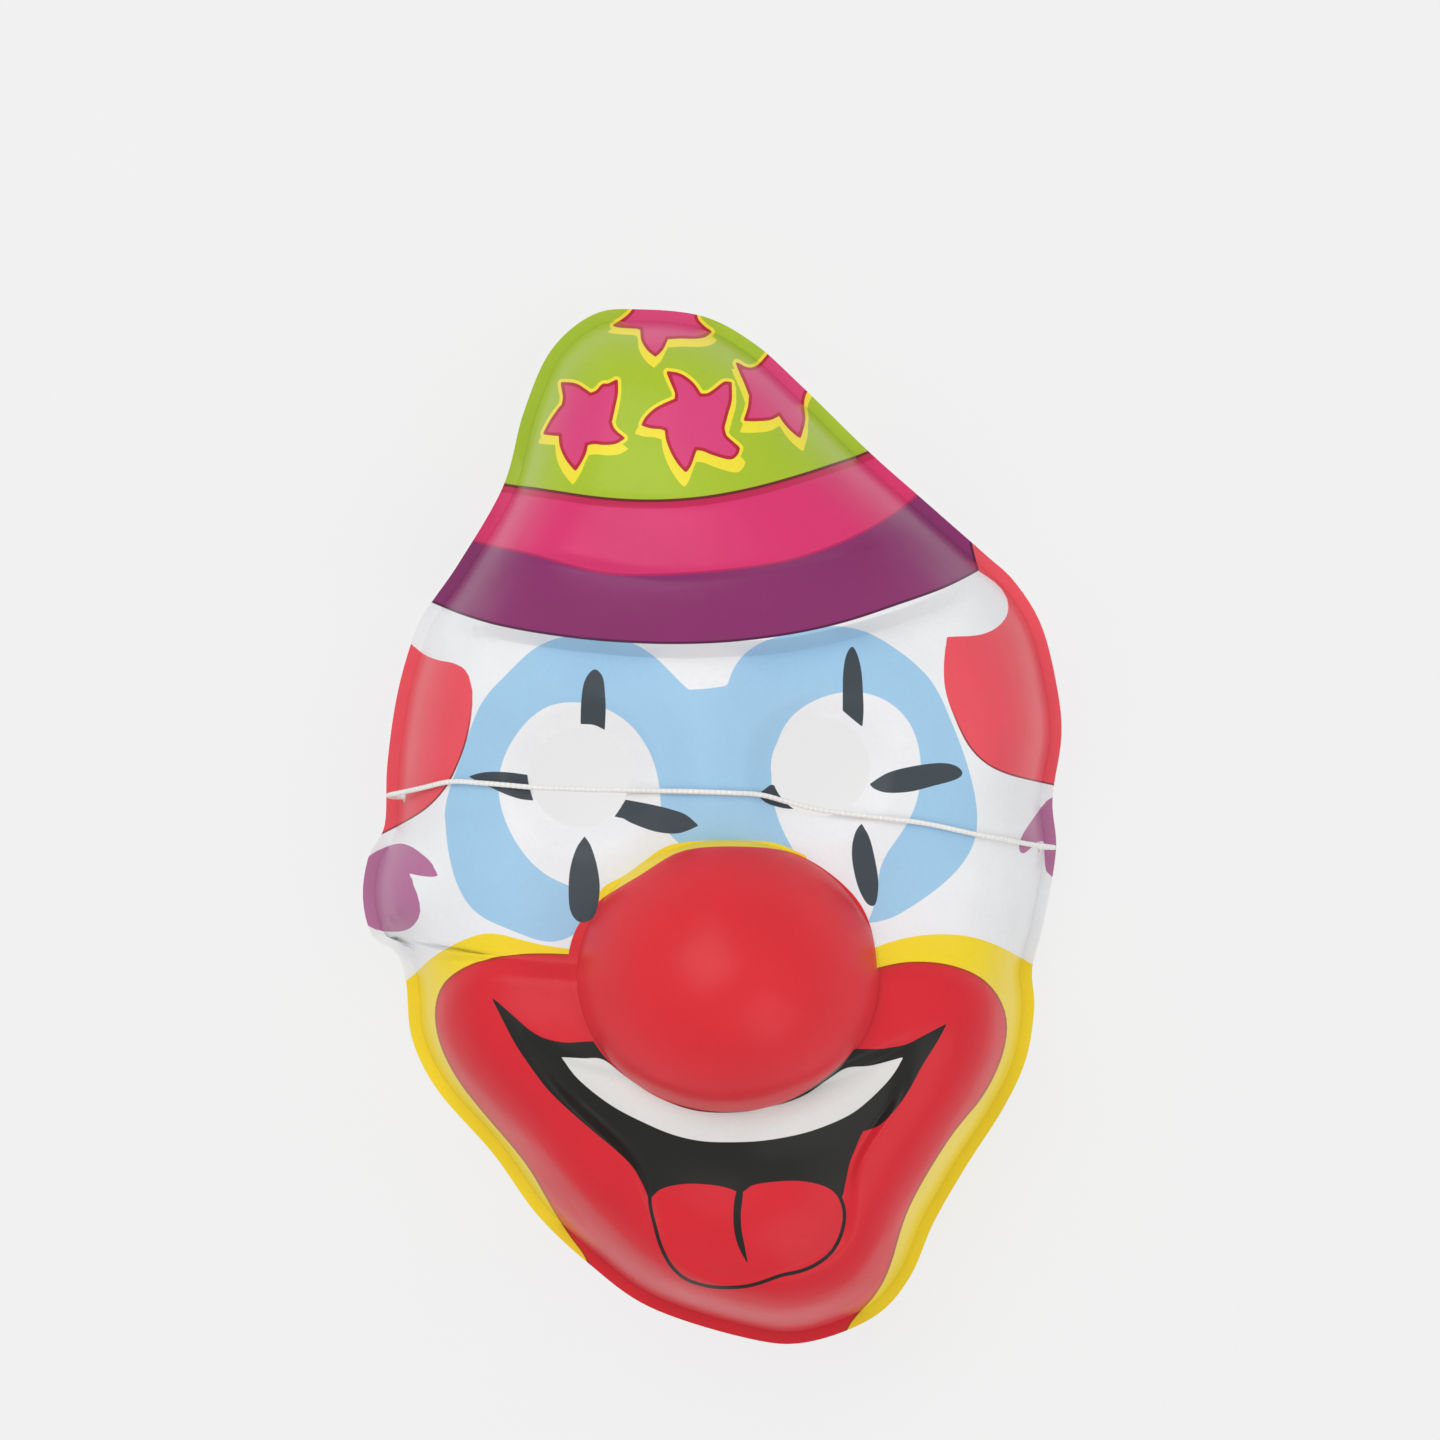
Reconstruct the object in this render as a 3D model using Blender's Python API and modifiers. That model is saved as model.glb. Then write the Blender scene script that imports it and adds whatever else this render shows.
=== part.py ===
"""Clown mask: one formed plastic sheet, an elastic thread across its front and two knots.

Metres, +Z up. The mask lies face up on its flat rim, with the origin under the middle
of its box, +Y towards the hat and +X towards the wearer's left ear.
"""
import math

import bmesh
import bpy
import numpy as np

# Overall sizes of the formed sheet.
MASK_WIDTH = 0.1430
MASK_HEIGHT = 0.2118
FACE_DEPTH = 0.0340
WALL = 0.0007

# The flat lip round the rim and the side wall that rises from it.
LIP_WIDTH = 0.0024
SIDE_RUN = 0.0040

# The hat.
BAND_RISE = 0.0012
BRIM_WIDTH = 0.0135
BRIM_FLARE = 0.0060
BRIM_TUCK = 0.0030
HAT_FADE = 0.0110

# The nose.
NOSE_WIDTH = 0.0612
NOSE_HEIGHT = 0.0550
NOSE_RISE = 0.0225

# The lips and the mouth.
LIP_RISE = 0.0030
LIP_EDGE = 0.0050
MOUTH_DROP = 0.0026
MOUTH_EDGE = 0.0028
TONGUE_RISE = 0.0034
TEETH_RISE = 0.0014

# The eyes.
EYE_SPACING = 0.0486
EYE_HOLE_DIAMETER = 0.0200
SOCKET_DROP = 0.0032
SOCKET_RADIUS = 0.0165

# The elastic thread, its holes and its knots.
THREAD_DIAMETER = 0.0010
THREAD_HOLE_DIAMETER = 0.0024
THREAD_HOLE_HEIGHT = 0.0062
KNOT_DIAMETER = 0.0034
SEAT_GAP = 0.0003

# How finely the sheet is cut up: points round each ring, and rings in each stretch.
RIM_POINTS = 84
RIM_EVENNESS = 0.7
NOSE_RINGS = 6
FACE_RINGS = 5
HAT_RINGS = 5

# The rim seen from the front, clockwise from the tip of the hat.
# Columns: place, share of the width, share of the height.
RIM = (
    ("hat tip", -0.103, 0.500),
    ("hat tip right", -0.012, 0.493),
    ("crown right", 0.060, 0.467),
    ("crown slope", 0.126, 0.427),
    ("band right", 0.223, 0.363),
    ("brim right", 0.303, 0.315),
    ("brim corner right", 0.392, 0.262),
    ("hair top right", 0.432, 0.237),
    ("hair right", 0.470, 0.196),
    ("hair side right", 0.492, 0.140),
    ("hair widest right", 0.500, 0.088),
    ("ear top right", 0.487, 0.026),
    ("ear right", 0.492, -0.024),
    ("cheek right", 0.474, -0.094),
    ("lip top right", 0.458, -0.138),
    ("lip right", 0.461, -0.176),
    ("lip lower right", 0.449, -0.226),
    ("jaw right", 0.417, -0.273),
    ("jaw low right", 0.363, -0.330),
    ("chin side right", 0.317, -0.384),
    ("chin corner right", 0.282, -0.438),
    ("chin low right", 0.230, -0.476),
    ("chin bottom", 0.135, -0.500),
    ("chin low left", 0.050, -0.496),
    ("chin side left", -0.089, -0.466),
    ("jaw low left", -0.178, -0.423),
    ("jaw left", -0.251, -0.376),
    ("lip low left", -0.314, -0.317),
    ("lip lower left", -0.393, -0.256),
    ("lip left", -0.430, -0.205),
    ("lip top left", -0.438, -0.152),
    ("cheek left", -0.452, -0.122),
    ("ear low left", -0.486, -0.107),
    ("ear left", -0.500, -0.070),
    ("ear top left", -0.492, -0.030),
    ("temple left", -0.469, 0.000),
    ("hair left", -0.465, 0.060),
    ("hair side left", -0.450, 0.130),
    ("forehead left", -0.424, 0.190),
    ("brim corner left", -0.402, 0.216),
    ("brim left", -0.362, 0.255),
    ("band left", -0.299, 0.329),
    ("crown left", -0.270, 0.400),
    ("crown top left", -0.231, 0.460),
    ("hat tip left", -0.170, 0.495),
)

# The face's height above the rim, from the hat's tip to the chin.
# Columns: place, share of the height, crest and side fall as shares of the face's depth.
# The fall is what the surface has lost a quarter of the mask's width to the side.
SECTIONS = (
    ("hat tip", 0.500, 0.44, 0.26),
    ("crown", 0.420, 0.68, 0.26),
    ("crown foot", 0.330, 0.88, 0.24),
    ("brim", 0.250, 0.98, 0.19),
    ("forehead", 0.160, 1.02, 0.15),
    ("eyes", 0.045, 1.00, 0.14),
    ("nose", -0.120, 0.99, 0.13),
    ("lips", -0.220, 1.00, 0.13),
    ("mouth", -0.310, 0.96, 0.14),
    ("tongue", -0.390, 0.87, 0.17),
    ("chin", -0.450, 0.75, 0.20),
    ("chin bottom", -0.500, 0.58, 0.24),
)

# Curves that cross the hat. Columns: share of the width, share of the height.
BRIM_EDGE = (
    (-0.430, 0.214),
    (-0.270, 0.190),
    (-0.100, 0.177),
    (0.015, 0.177),
    (0.130, 0.184),
    (0.270, 0.210),
    (0.400, 0.250),
)
BAND_TOP = (
    (-0.320, 0.325),
    (-0.160, 0.315),
    (-0.015, 0.312),
    (0.125, 0.332),
    (0.240, 0.364),
)
BAND_FOOT = (
    (-0.345, 0.272),
    (-0.217, 0.257),
    (-0.045, 0.240),
    (0.126, 0.255),
    (0.226, 0.272),
    (0.300, 0.312),
)

# The raised lips, clockwise from the top of the left lobe.
# Columns: share of the width, share of the height.
LIPS = (
    (-0.330, -0.134),
    (-0.200, -0.138),
    (0.020, -0.140),
    (0.235, -0.134),
    (0.340, -0.137),
    (0.405, -0.162),
    (0.400, -0.225),
    (0.330, -0.315),
    (0.255, -0.395),
    (0.180, -0.455),
    (0.060, -0.470),
    (-0.100, -0.420),
    (-0.240, -0.320),
    (-0.370, -0.230),
    (-0.395, -0.175),
)

# The sunk mouth: the smile, then its lower edge round the tongue.
# Columns: share of the width, share of the height.
MOUTH = (
    (-0.296, -0.180),
    (-0.215, -0.218),
    (-0.110, -0.240),
    (0.020, -0.262),
    (0.150, -0.240),
    (0.240, -0.215),
    (0.318, -0.192),
    (0.265, -0.255),
    (0.205, -0.320),
    (0.180, -0.400),
    (0.040, -0.434),
    (-0.060, -0.400),
    (-0.110, -0.320),
    (-0.205, -0.255),
)

# Soft swellings of the face.
# Columns: place, middle as shares of the width and height, half width and half height
# as shares of the same, rise as a share of the face's depth.
SWELLINGS = (
    ("nose bridge", 0.000, 0.040, 0.060, 0.090, 0.06),
    ("left cheek", -0.330, -0.070, 0.100, 0.060, 0.06),
    ("right cheek", 0.370, -0.060, 0.090, 0.060, 0.06),
    ("left hair", -0.410, 0.090, 0.060, 0.080, 0.05),
    ("right hair", 0.420, 0.100, 0.070, 0.080, 0.05),
    ("left ear", -0.460, -0.060, 0.035, 0.035, 0.07),
    ("right ear", 0.470, -0.030, 0.025, 0.035, 0.05),
    ("left lip lobe", -0.310, -0.190, 0.090, 0.050, 0.05),
    ("right lip lobe", 0.330, -0.190, 0.090, 0.050, 0.05),
    ("chin", 0.060, -0.455, 0.150, 0.045, 0.09),
    ("hat tip", -0.080, 0.440, 0.120, 0.050, 0.05),
)

# The nose's middle, and the tongue's middle and half sizes, as shares of the width and height.
NOSE_MIDDLE = (0.023, -0.141)
TONGUE_MIDDLE = (0.050, -0.385)
TONGUE_HALF = (0.125, 0.052)

# The teeth follow the nose's lower side as a band. Columns: share of the width, of the height.
TEETH_LINE = (
    (-0.190, -0.228),
    (-0.100, -0.262),
    (0.040, -0.284),
    (0.170, -0.262),
    (0.255, -0.228),
)

# The eye holes. Columns: name, share of the spacing from their middle, share of the height.
EYES = (
    ("left", -0.5, 0.048),
    ("right", 0.5, 0.058),
)
EYE_MIDDLE = -0.017

# Where the thread passes the side walls. Columns: name, side, share of the height.
THREAD_HOLES = (
    ("left", -1.0, 0.029),
    ("right", 1.0, -0.020),
)

# The thread's route, in millimetres: out of the left hole, up the side wall, across the
# face over the nose's bridge, down the right side wall and into the right hole.
THREAD_ROUTE = (
    (-62.0, 6.1, 6.2),
    (-63.9, 6.1, 6.2),
    (-65.5, 6.2, 7.0),
    (-66.0, 6.4, 8.7),
    (-64.9, 6.7, 10.8),
    (-62.0, 7.3, 14.0),
    (-58.9, 8.0, 18.4),
    (-52.9, 9.3, 24.0),
    (-46.3, 9.0, 26.8),
    (-41.2, 8.6, 28.0),
    (-36.4, 8.2, 28.3),
    (-26.7, 7.8, 29.3),
    (-17.0, 7.6, 32.4),
    (-11.6, 7.5, 34.9),
    (-5.5, 7.4, 36.8),
    (-1.4, 7.3, 37.5),
    (4.0, 7.1, 37.3),
    (9.8, 6.7, 35.4),
    (15.5, 5.2, 33.3),
    (22.0, 3.6, 32.3),
    (30.0, 2.5, 32.0),
    (36.0, 1.8, 31.8),
    (43.5, 0.8, 29.9),
    (53.7, -1.4, 26.6),
    (59.2, -2.4, 22.9),
    (64.2, -3.4, 16.6),
    (68.3, -4.0, 11.6),
    (69.7, -4.2, 8.9),
    (69.2, -4.2, 7.0),
    (67.8, -4.2, 6.2),
    (65.9, -4.2, 6.2),
)

COLLECTION = "clown_mask"
CUTTERS = "clown_mask_cutters"


def clear_scene():
    """Remove every object that the file opens with."""
    for obj in list(bpy.data.objects):
        bpy.data.objects.remove(obj, do_unlink=True)


def new_collection(name):
    """Make a collection under the scene's own."""
    collection = bpy.data.collections.new(name)
    bpy.context.scene.collection.children.link(collection)
    return collection


def make_material(name, colour, roughness, metallic=0.0):
    """One Principled material."""
    material = bpy.data.materials.new(name)
    material.use_nodes = True
    shader = material.node_tree.nodes["Principled BSDF"]
    shader.inputs["Base Color"].default_value = (*colour, 1.0)
    shader.inputs["Roughness"].default_value = roughness
    shader.inputs["Metallic"].default_value = metallic
    return material


def add_mesh(name, mesh, collection, material=None):
    """Link a mesh as a named object."""
    obj = bpy.data.objects.new(name, mesh)
    collection.objects.link(obj)
    if material:
        mesh.materials.append(material)
    return obj


def to_sheet(shares):
    """Shares of the width and height as places in metres."""
    return np.asarray(shares, dtype=float) * (MASK_WIDTH, MASK_HEIGHT)


def spline(points, steps, closed):
    """Catmull-Rom curve through the points, steps places on each stretch."""
    points = np.asarray(points, dtype=float)
    if closed:
        padded = np.vstack((points[-1:], points, points[:2]))
    else:
        padded = np.vstack((2 * points[0] - points[1], points, 2 * points[-1] - points[-2]))
    before = padded[:-3, None]
    start = padded[1:-2, None]
    end = padded[2:-1, None]
    after = padded[3:, None]
    t = (np.arange(steps) / steps)[None, :, None]
    curve = 0.5 * (
        2 * start
        + (end - before) * t
        + (2 * before - 5 * start + 4 * end - after) * t**2
        + (3 * start - before - 3 * end + after) * t**3
    )
    curve = curve.reshape(-1, points.shape[1])
    if closed:
        return curve
    return np.vstack((curve, points[-1]))


def rim_curve():
    """The rim's outline in metres, with its box exactly the mask's size round the origin."""
    curve = spline([row[1:] for row in RIM], 6, closed=True)
    low = curve.min(axis=0)
    high = curve.max(axis=0)
    return to_sheet((curve - (low + high) / 2) / (high - low))


def rim_polar(curve):
    """The rim as angle, radius and lean of its edge, seen from the nose's middle.

    The lean is the cosine between the ray from the middle and the edge's normal. A step
    inwards of d across the edge is d over that lean along the ray.
    """
    ray = curve - to_sheet(NOSE_MIDDLE)
    radius = np.hypot(ray[:, 0], ray[:, 1])
    angle = np.arctan2(ray[:, 1], ray[:, 0])
    along = np.roll(curve, -2, axis=0) - np.roll(curve, 2, axis=0)
    across = np.abs(along[:, 1] * ray[:, 0] - along[:, 0] * ray[:, 1])
    lean = across / (radius * np.hypot(along[:, 0], along[:, 1]))
    order = np.argsort(angle)
    return angle[order], radius[order], np.clip(lean[order], 0.5, 1.0)


RIM_CURVE = rim_curve()
RIM_ANGLE, RIM_RADIUS, RIM_LEAN = rim_polar(RIM_CURVE)


def rim_at(angle):
    """Radius and lean of the rim at each angle."""
    radius = np.interp(angle, RIM_ANGLE, RIM_RADIUS, period=2 * math.pi)
    lean = np.interp(angle, RIM_ANGLE, RIM_LEAN, period=2 * math.pi)
    return radius, lean


def ease(value):
    """Smooth step from 0 to 1 while the value goes from 0 to 1."""
    value = np.clip(value, 0.0, 1.0)
    return value * value * (3.0 - 2.0 * value)


def swelling(x, y, middle, half):
    """A bell, 1 at its middle and near 0 at twice its half sizes."""
    u = (x - middle[0]) / half[0]
    v = (y - middle[1]) / half[1]
    return np.exp(-(u * u + v * v))


def above_curve(x, y, curve):
    """Height of each place above an open curve given as shares."""
    line = spline(to_sheet(curve), 8, closed=False)
    return y - np.interp(x, line[:, 0], line[:, 1])


def inside_depth(x, y, ring):
    """Signed distance of each place to a closed ring of points, positive inside it."""
    nxt = np.roll(ring, -1, axis=0)
    px = x.reshape(-1, 1)
    py = y.reshape(-1, 1)
    ex = (nxt - ring)[:, 0]
    ey = (nxt - ring)[:, 1]
    wx = px - ring[:, 0]
    wy = py - ring[:, 1]
    share = np.clip((wx * ex + wy * ey) / (ex * ex + ey * ey), 0.0, 1.0)
    near = np.min(np.hypot(wx - share * ex, wy - share * ey), axis=1)
    crosses = (ring[:, 1] > py) != (nxt[:, 1] > py)
    slope = np.where(ey == 0.0, 1.0, ey)
    hits = crosses & (px < ring[:, 0] + wy * ex / slope)
    inside = np.count_nonzero(hits, axis=1) % 2 == 1
    return np.where(inside, near, -near).reshape(x.shape)


def smooth_ring(shares):
    """A closed smooth outline in metres through a few places given as shares."""
    return spline(to_sheet(shares), 4, closed=True)


def face_height(x, y):
    """The broad form: a crest down the middle that falls away to both sides."""
    place = y / MASK_HEIGHT
    levels = spline([row[1:] for row in SECTIONS][::-1], 6, closed=False)
    crest = np.interp(place, levels[:, 0], levels[:, 1])
    fall = np.interp(place, levels[:, 0], levels[:, 2])
    middle = np.interp(place, (0.15, 0.45), (0.02, -0.07)) * MASK_WIDTH
    side = (x - middle) / (MASK_WIDTH / 4)
    return FACE_DEPTH * (crest - fall * side * side)


def hat_relief(x, y):
    """The band stands a little proud, and the brim flares out and tucks back under."""
    over_band_top = above_curve(x, y, BAND_TOP)
    over_band_foot = above_curve(x, y, BAND_FOOT)
    over_brim = above_curve(x, y, BRIM_EDGE)
    soft = BRIM_TUCK / 2
    band = ease((over_band_foot + soft) / BRIM_TUCK) * ease((soft - over_band_top) / BRIM_TUCK)
    flare = 1.0 - np.clip(over_brim / BRIM_WIDTH, 0.0, 1.0)
    tuck = ease((over_brim + BRIM_TUCK) / BRIM_TUCK)
    return BAND_RISE * band + BRIM_FLARE * flare**1.5 * tuck


def nose_relief(x, y):
    """A ball nose: an oval dome with a crisp foot."""
    u = (x - NOSE_MIDDLE[0] * MASK_WIDTH) / (NOSE_WIDTH / 2)
    v = (y - NOSE_MIDDLE[1] * MASK_HEIGHT) / (NOSE_HEIGHT / 2)
    return NOSE_RISE * np.clip(1.0 - u * u - v * v, 0.0, 1.0) ** 0.7


def eye_relief(x, y):
    """A shallow round socket about each eye hole."""
    drop = np.zeros_like(x)
    for _, side, height in EYES:
        middle = (EYE_MIDDLE * MASK_WIDTH + side * EYE_SPACING, height * MASK_HEIGHT)
        away = np.hypot(x - middle[0], y - middle[1]) / SOCKET_RADIUS
        drop += SOCKET_DROP * (1.0 - ease(away * away))
    return -drop


def mouth_relief(x, y):
    """Raised lips, the sunk mouth in them, and the teeth and tongue raised in the mouth."""
    lips = ease(inside_depth(x, y, smooth_ring(LIPS)) / LIP_EDGE + 0.5)
    mouth = ease(inside_depth(x, y, smooth_ring(MOUTH)) / MOUTH_EDGE + 0.5)
    teeth = np.exp(-((above_curve(x, y, TEETH_LINE) / (2 * MOUTH_EDGE)) ** 2))
    tongue = swelling(x, y, to_sheet(TONGUE_MIDDLE), to_sheet(TONGUE_HALF))
    return LIP_RISE * lips - mouth * (MOUTH_DROP - TEETH_RISE * teeth - TONGUE_RISE * tongue)


def sheet_height(x, y):
    """Height of the sheet's outer face above the rim's plane."""
    inwards = np.clip(inside_depth(x, y, RIM_CURVE) - LIP_WIDTH, 0.0, None)
    height = face_height(x, y) + eye_relief(x, y) + mouth_relief(x, y) + nose_relief(x, y)
    height += hat_relief(x, y) * ease(inwards / HAT_FADE)
    for _, across, up, half_across, half_up, rise in SWELLINGS:
        middle = to_sheet((across, up))
        half = to_sheet((half_across, half_up))
        height += rise * FACE_DEPTH * swelling(x, y, middle, half)
    wall = 1.0 - np.exp(-inwards / SIDE_RUN)
    return WALL + wall * np.clip(height, 0.25 * FACE_DEPTH, None)


def ring_angles():
    """Angles of the points of every ring, spaced mostly by the rim's length."""
    around = np.append(RIM_ANGLE, RIM_ANGLE[0] + 2 * math.pi)
    radius = np.append(RIM_RADIUS, RIM_RADIUS[0])
    x = radius * np.cos(around)
    y = radius * np.sin(around)
    length = np.append(0.0, np.cumsum(np.hypot(np.diff(x), np.diff(y))))
    turned = (around - around[0]) / (2 * math.pi)
    share = RIM_EVENNESS * length / length[-1] + (1.0 - RIM_EVENNESS) * turned
    return np.interp(np.arange(RIM_POINTS) / RIM_POINTS, share, around)


def nose_foot(angle):
    """Radius of the nose's oval foot at each angle."""
    across = np.cos(angle) / (NOSE_WIDTH / 2)
    up = np.sin(angle) / (NOSE_HEIGHT / 2)
    return 1.0 / np.hypot(across, up)


def brim_radius(angle, low, high):
    """Radius at which each ray from the nose meets the brim's edge, between two limits."""
    middle = to_sheet(NOSE_MIDDLE)
    trial = low + (high - low) * np.linspace(0.0, 1.0, 200)[:, None]
    x = middle[0] + trial * np.cos(angle)
    y = middle[1] + trial * np.sin(angle)
    below = above_curve(x, y, BRIM_EDGE) < 0.0
    return low + (high - low) * np.mean(below, axis=0)


def ring_radii(angle):
    """Radii of the rings at each angle, from the rim to the nose's middle.

    The first rings keep their distance from the edge: two on the flat lip, then closer
    together where the side wall is steep. In the hat's part two rings follow the brim's
    edge and its tuck, and everywhere the last rings follow the nose's oval foot.
    """
    radius, lean = rim_at(angle)
    steps = [0.0, 0.6 * LIP_WIDTH, LIP_WIDTH]
    for turn in (0.15, 0.40, 0.85, 1.6, 2.8):
        steps.append(LIP_WIDTH + turn * SIDE_RUN)
    rings = [radius - step / lean for step in steps]
    wall = rings[-1]
    foot = nose_foot(angle)
    span = wall - foot
    upwards = ease(2.0 * np.sin(angle) - 0.2)
    brim = brim_radius(angle, foot + 0.32 * span, foot + (0.5 + 0.4 * upwards) * span)
    tuck = brim - BRIM_TUCK
    for ring in range(1, HAT_RINGS):
        rings.append(wall + (brim - wall) * ring / HAT_RINGS)
    rings.append(brim)
    rings.append(tuck)
    for ring in range(1, FACE_RINGS):
        rings.append(tuck + (foot - tuck) * ring / FACE_RINGS)
    for ring in range(NOSE_RINGS):
        rings.append(foot * math.cos(0.5 * math.pi * ring / NOSE_RINGS))
    return np.array(rings)


def sheet_mesh():
    """The outer face of the sheet as rings of points round the nose's middle."""
    angle = ring_angles()
    radii = ring_radii(angle)
    middle = to_sheet(NOSE_MIDDLE)
    x = np.append((middle[0] + radii * np.cos(angle)).ravel(), middle[0])
    y = np.append((middle[1] + radii * np.sin(angle)).ravel(), middle[1])
    points = np.column_stack((x, y, sheet_height(x, y)))
    faces = []
    for ring in range(len(radii) - 1):
        outer = ring * RIM_POINTS
        inner = outer + RIM_POINTS
        for step in range(RIM_POINTS):
            ahead = (step + 1) % RIM_POINTS
            faces.append((outer + step, outer + ahead, inner + ahead, inner + step))
    last = (len(radii) - 1) * RIM_POINTS
    for step in range(RIM_POINTS):
        faces.append((last + step, last + (step + 1) % RIM_POINTS, len(points) - 1))
    mesh = bpy.data.meshes.new("mask_shell")
    mesh.from_pydata(points.tolist(), [], faces)
    mesh.shade_smooth()
    return mesh


def rod_mesh(name, diameter, length, sides):
    """A closed round rod along Z, centred on its middle."""
    mesh = bpy.data.meshes.new(name)
    work = bmesh.new()
    bmesh.ops.create_cone(
        work, cap_ends=True, segments=sides, radius1=diameter / 2, radius2=diameter / 2, depth=length
    )
    work.to_mesh(mesh)
    work.free()
    return mesh


def add_cutter(shell, name, mesh, location, turn):
    """Cut a hole in the shell with a hidden rod."""
    cutter = add_mesh(name, mesh, bpy.data.collections[CUTTERS])
    cutter.location = location
    cutter.rotation_euler = turn
    cutter.hide_render = True
    cutter.display_type = "WIRE"
    cut = shell.modifiers.new(name, "BOOLEAN")
    cut.operation = "DIFFERENCE"
    cut.solver = "EXACT"
    cut.object = cutter


def wall_place(side, share):
    """Place on the side wall's outer face at the holes' height, and the wall's lean there.

    The lean is the cosine between the wall's normal and the X axis.
    """
    y = share * MASK_HEIGHT
    out = np.linspace(0.40, 0.5, 400) * MASK_WIDTH
    height = sheet_height(side * out, np.full_like(out, y))
    at = np.max(np.flatnonzero(height >= THREAD_HOLE_HEIGHT))
    slope = (height[at - 1] - height[at + 1]) / (out[at + 1] - out[at - 1])
    return side * out[at], y, slope / math.hypot(1.0, slope)


def make_shell(collection):
    """The formed sheet with its eye holes and thread holes."""
    print_white = make_material("printed_plastic", (0.82, 0.36, 0.40), 0.28)
    shell = add_mesh("mask_shell", sheet_mesh(), collection, print_white)
    solidify = shell.modifiers.new("Wall", "SOLIDIFY")
    solidify.thickness = WALL
    solidify.offset = -1.0
    for name, side, height in EYES:
        middle = (EYE_MIDDLE * MASK_WIDTH + side * EYE_SPACING, height * MASK_HEIGHT, FACE_DEPTH)
        rod = rod_mesh("eye_cutter_" + name, EYE_HOLE_DIAMETER, 2 * FACE_DEPTH, 32)
        add_cutter(shell, "eye_cutter_" + name, rod, middle, (0.0, 0.0, 0.0))
    for name, side, share in THREAD_HOLES:
        x, y, _ = wall_place(side, share)
        rod = rod_mesh("thread_cutter_" + name, THREAD_HOLE_DIAMETER, 3 * LIP_WIDTH, 10)
        turn = (0.0, math.pi / 2, 0.0)
        add_cutter(shell, "thread_cutter_" + name, rod, (x, y, THREAD_HOLE_HEIGHT), turn)
    return shell


def make_thread(collection):
    """The elastic thread: a thin tube along the smooth curve through its route."""
    curve = bpy.data.curves.new("elastic_cord", "CURVE")
    curve.dimensions = "3D"
    curve.bevel_depth = THREAD_DIAMETER / 2
    curve.bevel_resolution = 2
    curve.use_fill_caps = True
    places = spline(np.array(THREAD_ROUTE) / 1000.0, 2, closed=False)
    line = curve.splines.new("POLY")
    line.points.add(len(places) - 1)
    for point, place in zip(line.points, places):
        point.co = (*place, 1.0)
    curve.materials.append(make_material("white_elastic", (0.88, 0.88, 0.86), 0.7))
    thread = bpy.data.objects.new("elastic_cord", curve)
    collection.objects.link(thread)


def make_knots(collection):
    """A round knot behind each thread hole, too big to pull through it."""
    white = make_material("white_knot", (0.86, 0.86, 0.84), 0.75)
    radius = KNOT_DIAMETER / 2
    for name, side, share in THREAD_HOLES:
        mesh = bpy.data.meshes.new("knot_" + name)
        work = bmesh.new()
        bmesh.ops.create_uvsphere(work, u_segments=10, v_segments=7, radius=radius)
        work.to_mesh(mesh)
        work.free()
        mesh.shade_smooth()
        x, y, lean = wall_place(side, share)
        knot = add_mesh("knot_" + name, mesh, collection, white)
        inwards = (WALL + radius + SEAT_GAP) / lean
        knot.location = (x - side * inwards, y, THREAD_HOLE_HEIGHT)


def main():
    """Build the mask."""
    clear_scene()
    collection = new_collection(COLLECTION)
    new_collection(CUTTERS)
    make_shell(collection)
    make_thread(collection)
    make_knots(collection)


main()
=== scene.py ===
# %% [markdown]
# # A clown mask formed from one printed sheet
#
# A party mask like this starts as a flat sheet of thin white plastic. The picture is printed on
# the flat sheet, which is then warmed, drawn over a mould and cut out, so the print is
# stretched with the form. A white elastic thread runs between two small holes in the sides.
#
# The lesson makes it in the same order: the thread's path, the form as heights over a grid of
# rings, the print as outlines, the plastic and its inks, and last the light.

# %% The frame that everything fits
import math

import bpy
import numpy as np
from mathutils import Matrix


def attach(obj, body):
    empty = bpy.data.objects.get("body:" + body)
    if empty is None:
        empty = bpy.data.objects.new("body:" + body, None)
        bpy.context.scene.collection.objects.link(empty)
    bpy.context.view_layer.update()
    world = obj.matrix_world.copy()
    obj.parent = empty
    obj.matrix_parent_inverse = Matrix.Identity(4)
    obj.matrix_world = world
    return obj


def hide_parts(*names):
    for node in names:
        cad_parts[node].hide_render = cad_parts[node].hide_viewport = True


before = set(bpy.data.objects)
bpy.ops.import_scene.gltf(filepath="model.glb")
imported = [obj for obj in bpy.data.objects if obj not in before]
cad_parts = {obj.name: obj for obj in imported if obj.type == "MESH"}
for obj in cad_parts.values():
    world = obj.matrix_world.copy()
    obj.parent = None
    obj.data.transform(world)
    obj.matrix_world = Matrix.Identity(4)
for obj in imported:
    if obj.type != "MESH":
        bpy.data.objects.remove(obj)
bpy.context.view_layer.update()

print("solids to dress:", ", ".join(sorted(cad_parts)))

# %% [markdown]
# ## The camera
#
# The mask lies face up and is seen from straight above, from far enough away that the nose
# isn't drawn bigger than it is. A long lens from 2.5 m does that. Its length follows from how
# wide the picture is a little above the rim.

# %% The camera
VIEW_WIDTH = 0.2938
VIEW_MIDDLE = (0.0016, 0.0218)
VIEW_PLANE = 0.008
CAMERA_HEIGHT = 2.5
SENSOR = 36.0

lens = bpy.data.cameras.new("camera")
lens.sensor_width = SENSOR
lens.lens = SENSOR * (CAMERA_HEIGHT - VIEW_PLANE) / VIEW_WIDTH
camera = bpy.data.objects.new("camera", lens)
camera.location = (*VIEW_MIDDLE, CAMERA_HEIGHT)
bpy.context.scene.collection.objects.link(camera)
bpy.context.scene.camera = camera
print(f"lens of {lens.lens:.0f} mm from {CAMERA_HEIGHT} m above")

# %% [markdown]
# ## Smooth curves through a few points
#
# The rim, the thread and every outline of the print are a few places joined by a smooth curve.
# A Catmull-Rom curve suits them, because it passes through each place and needs no handles.

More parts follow.
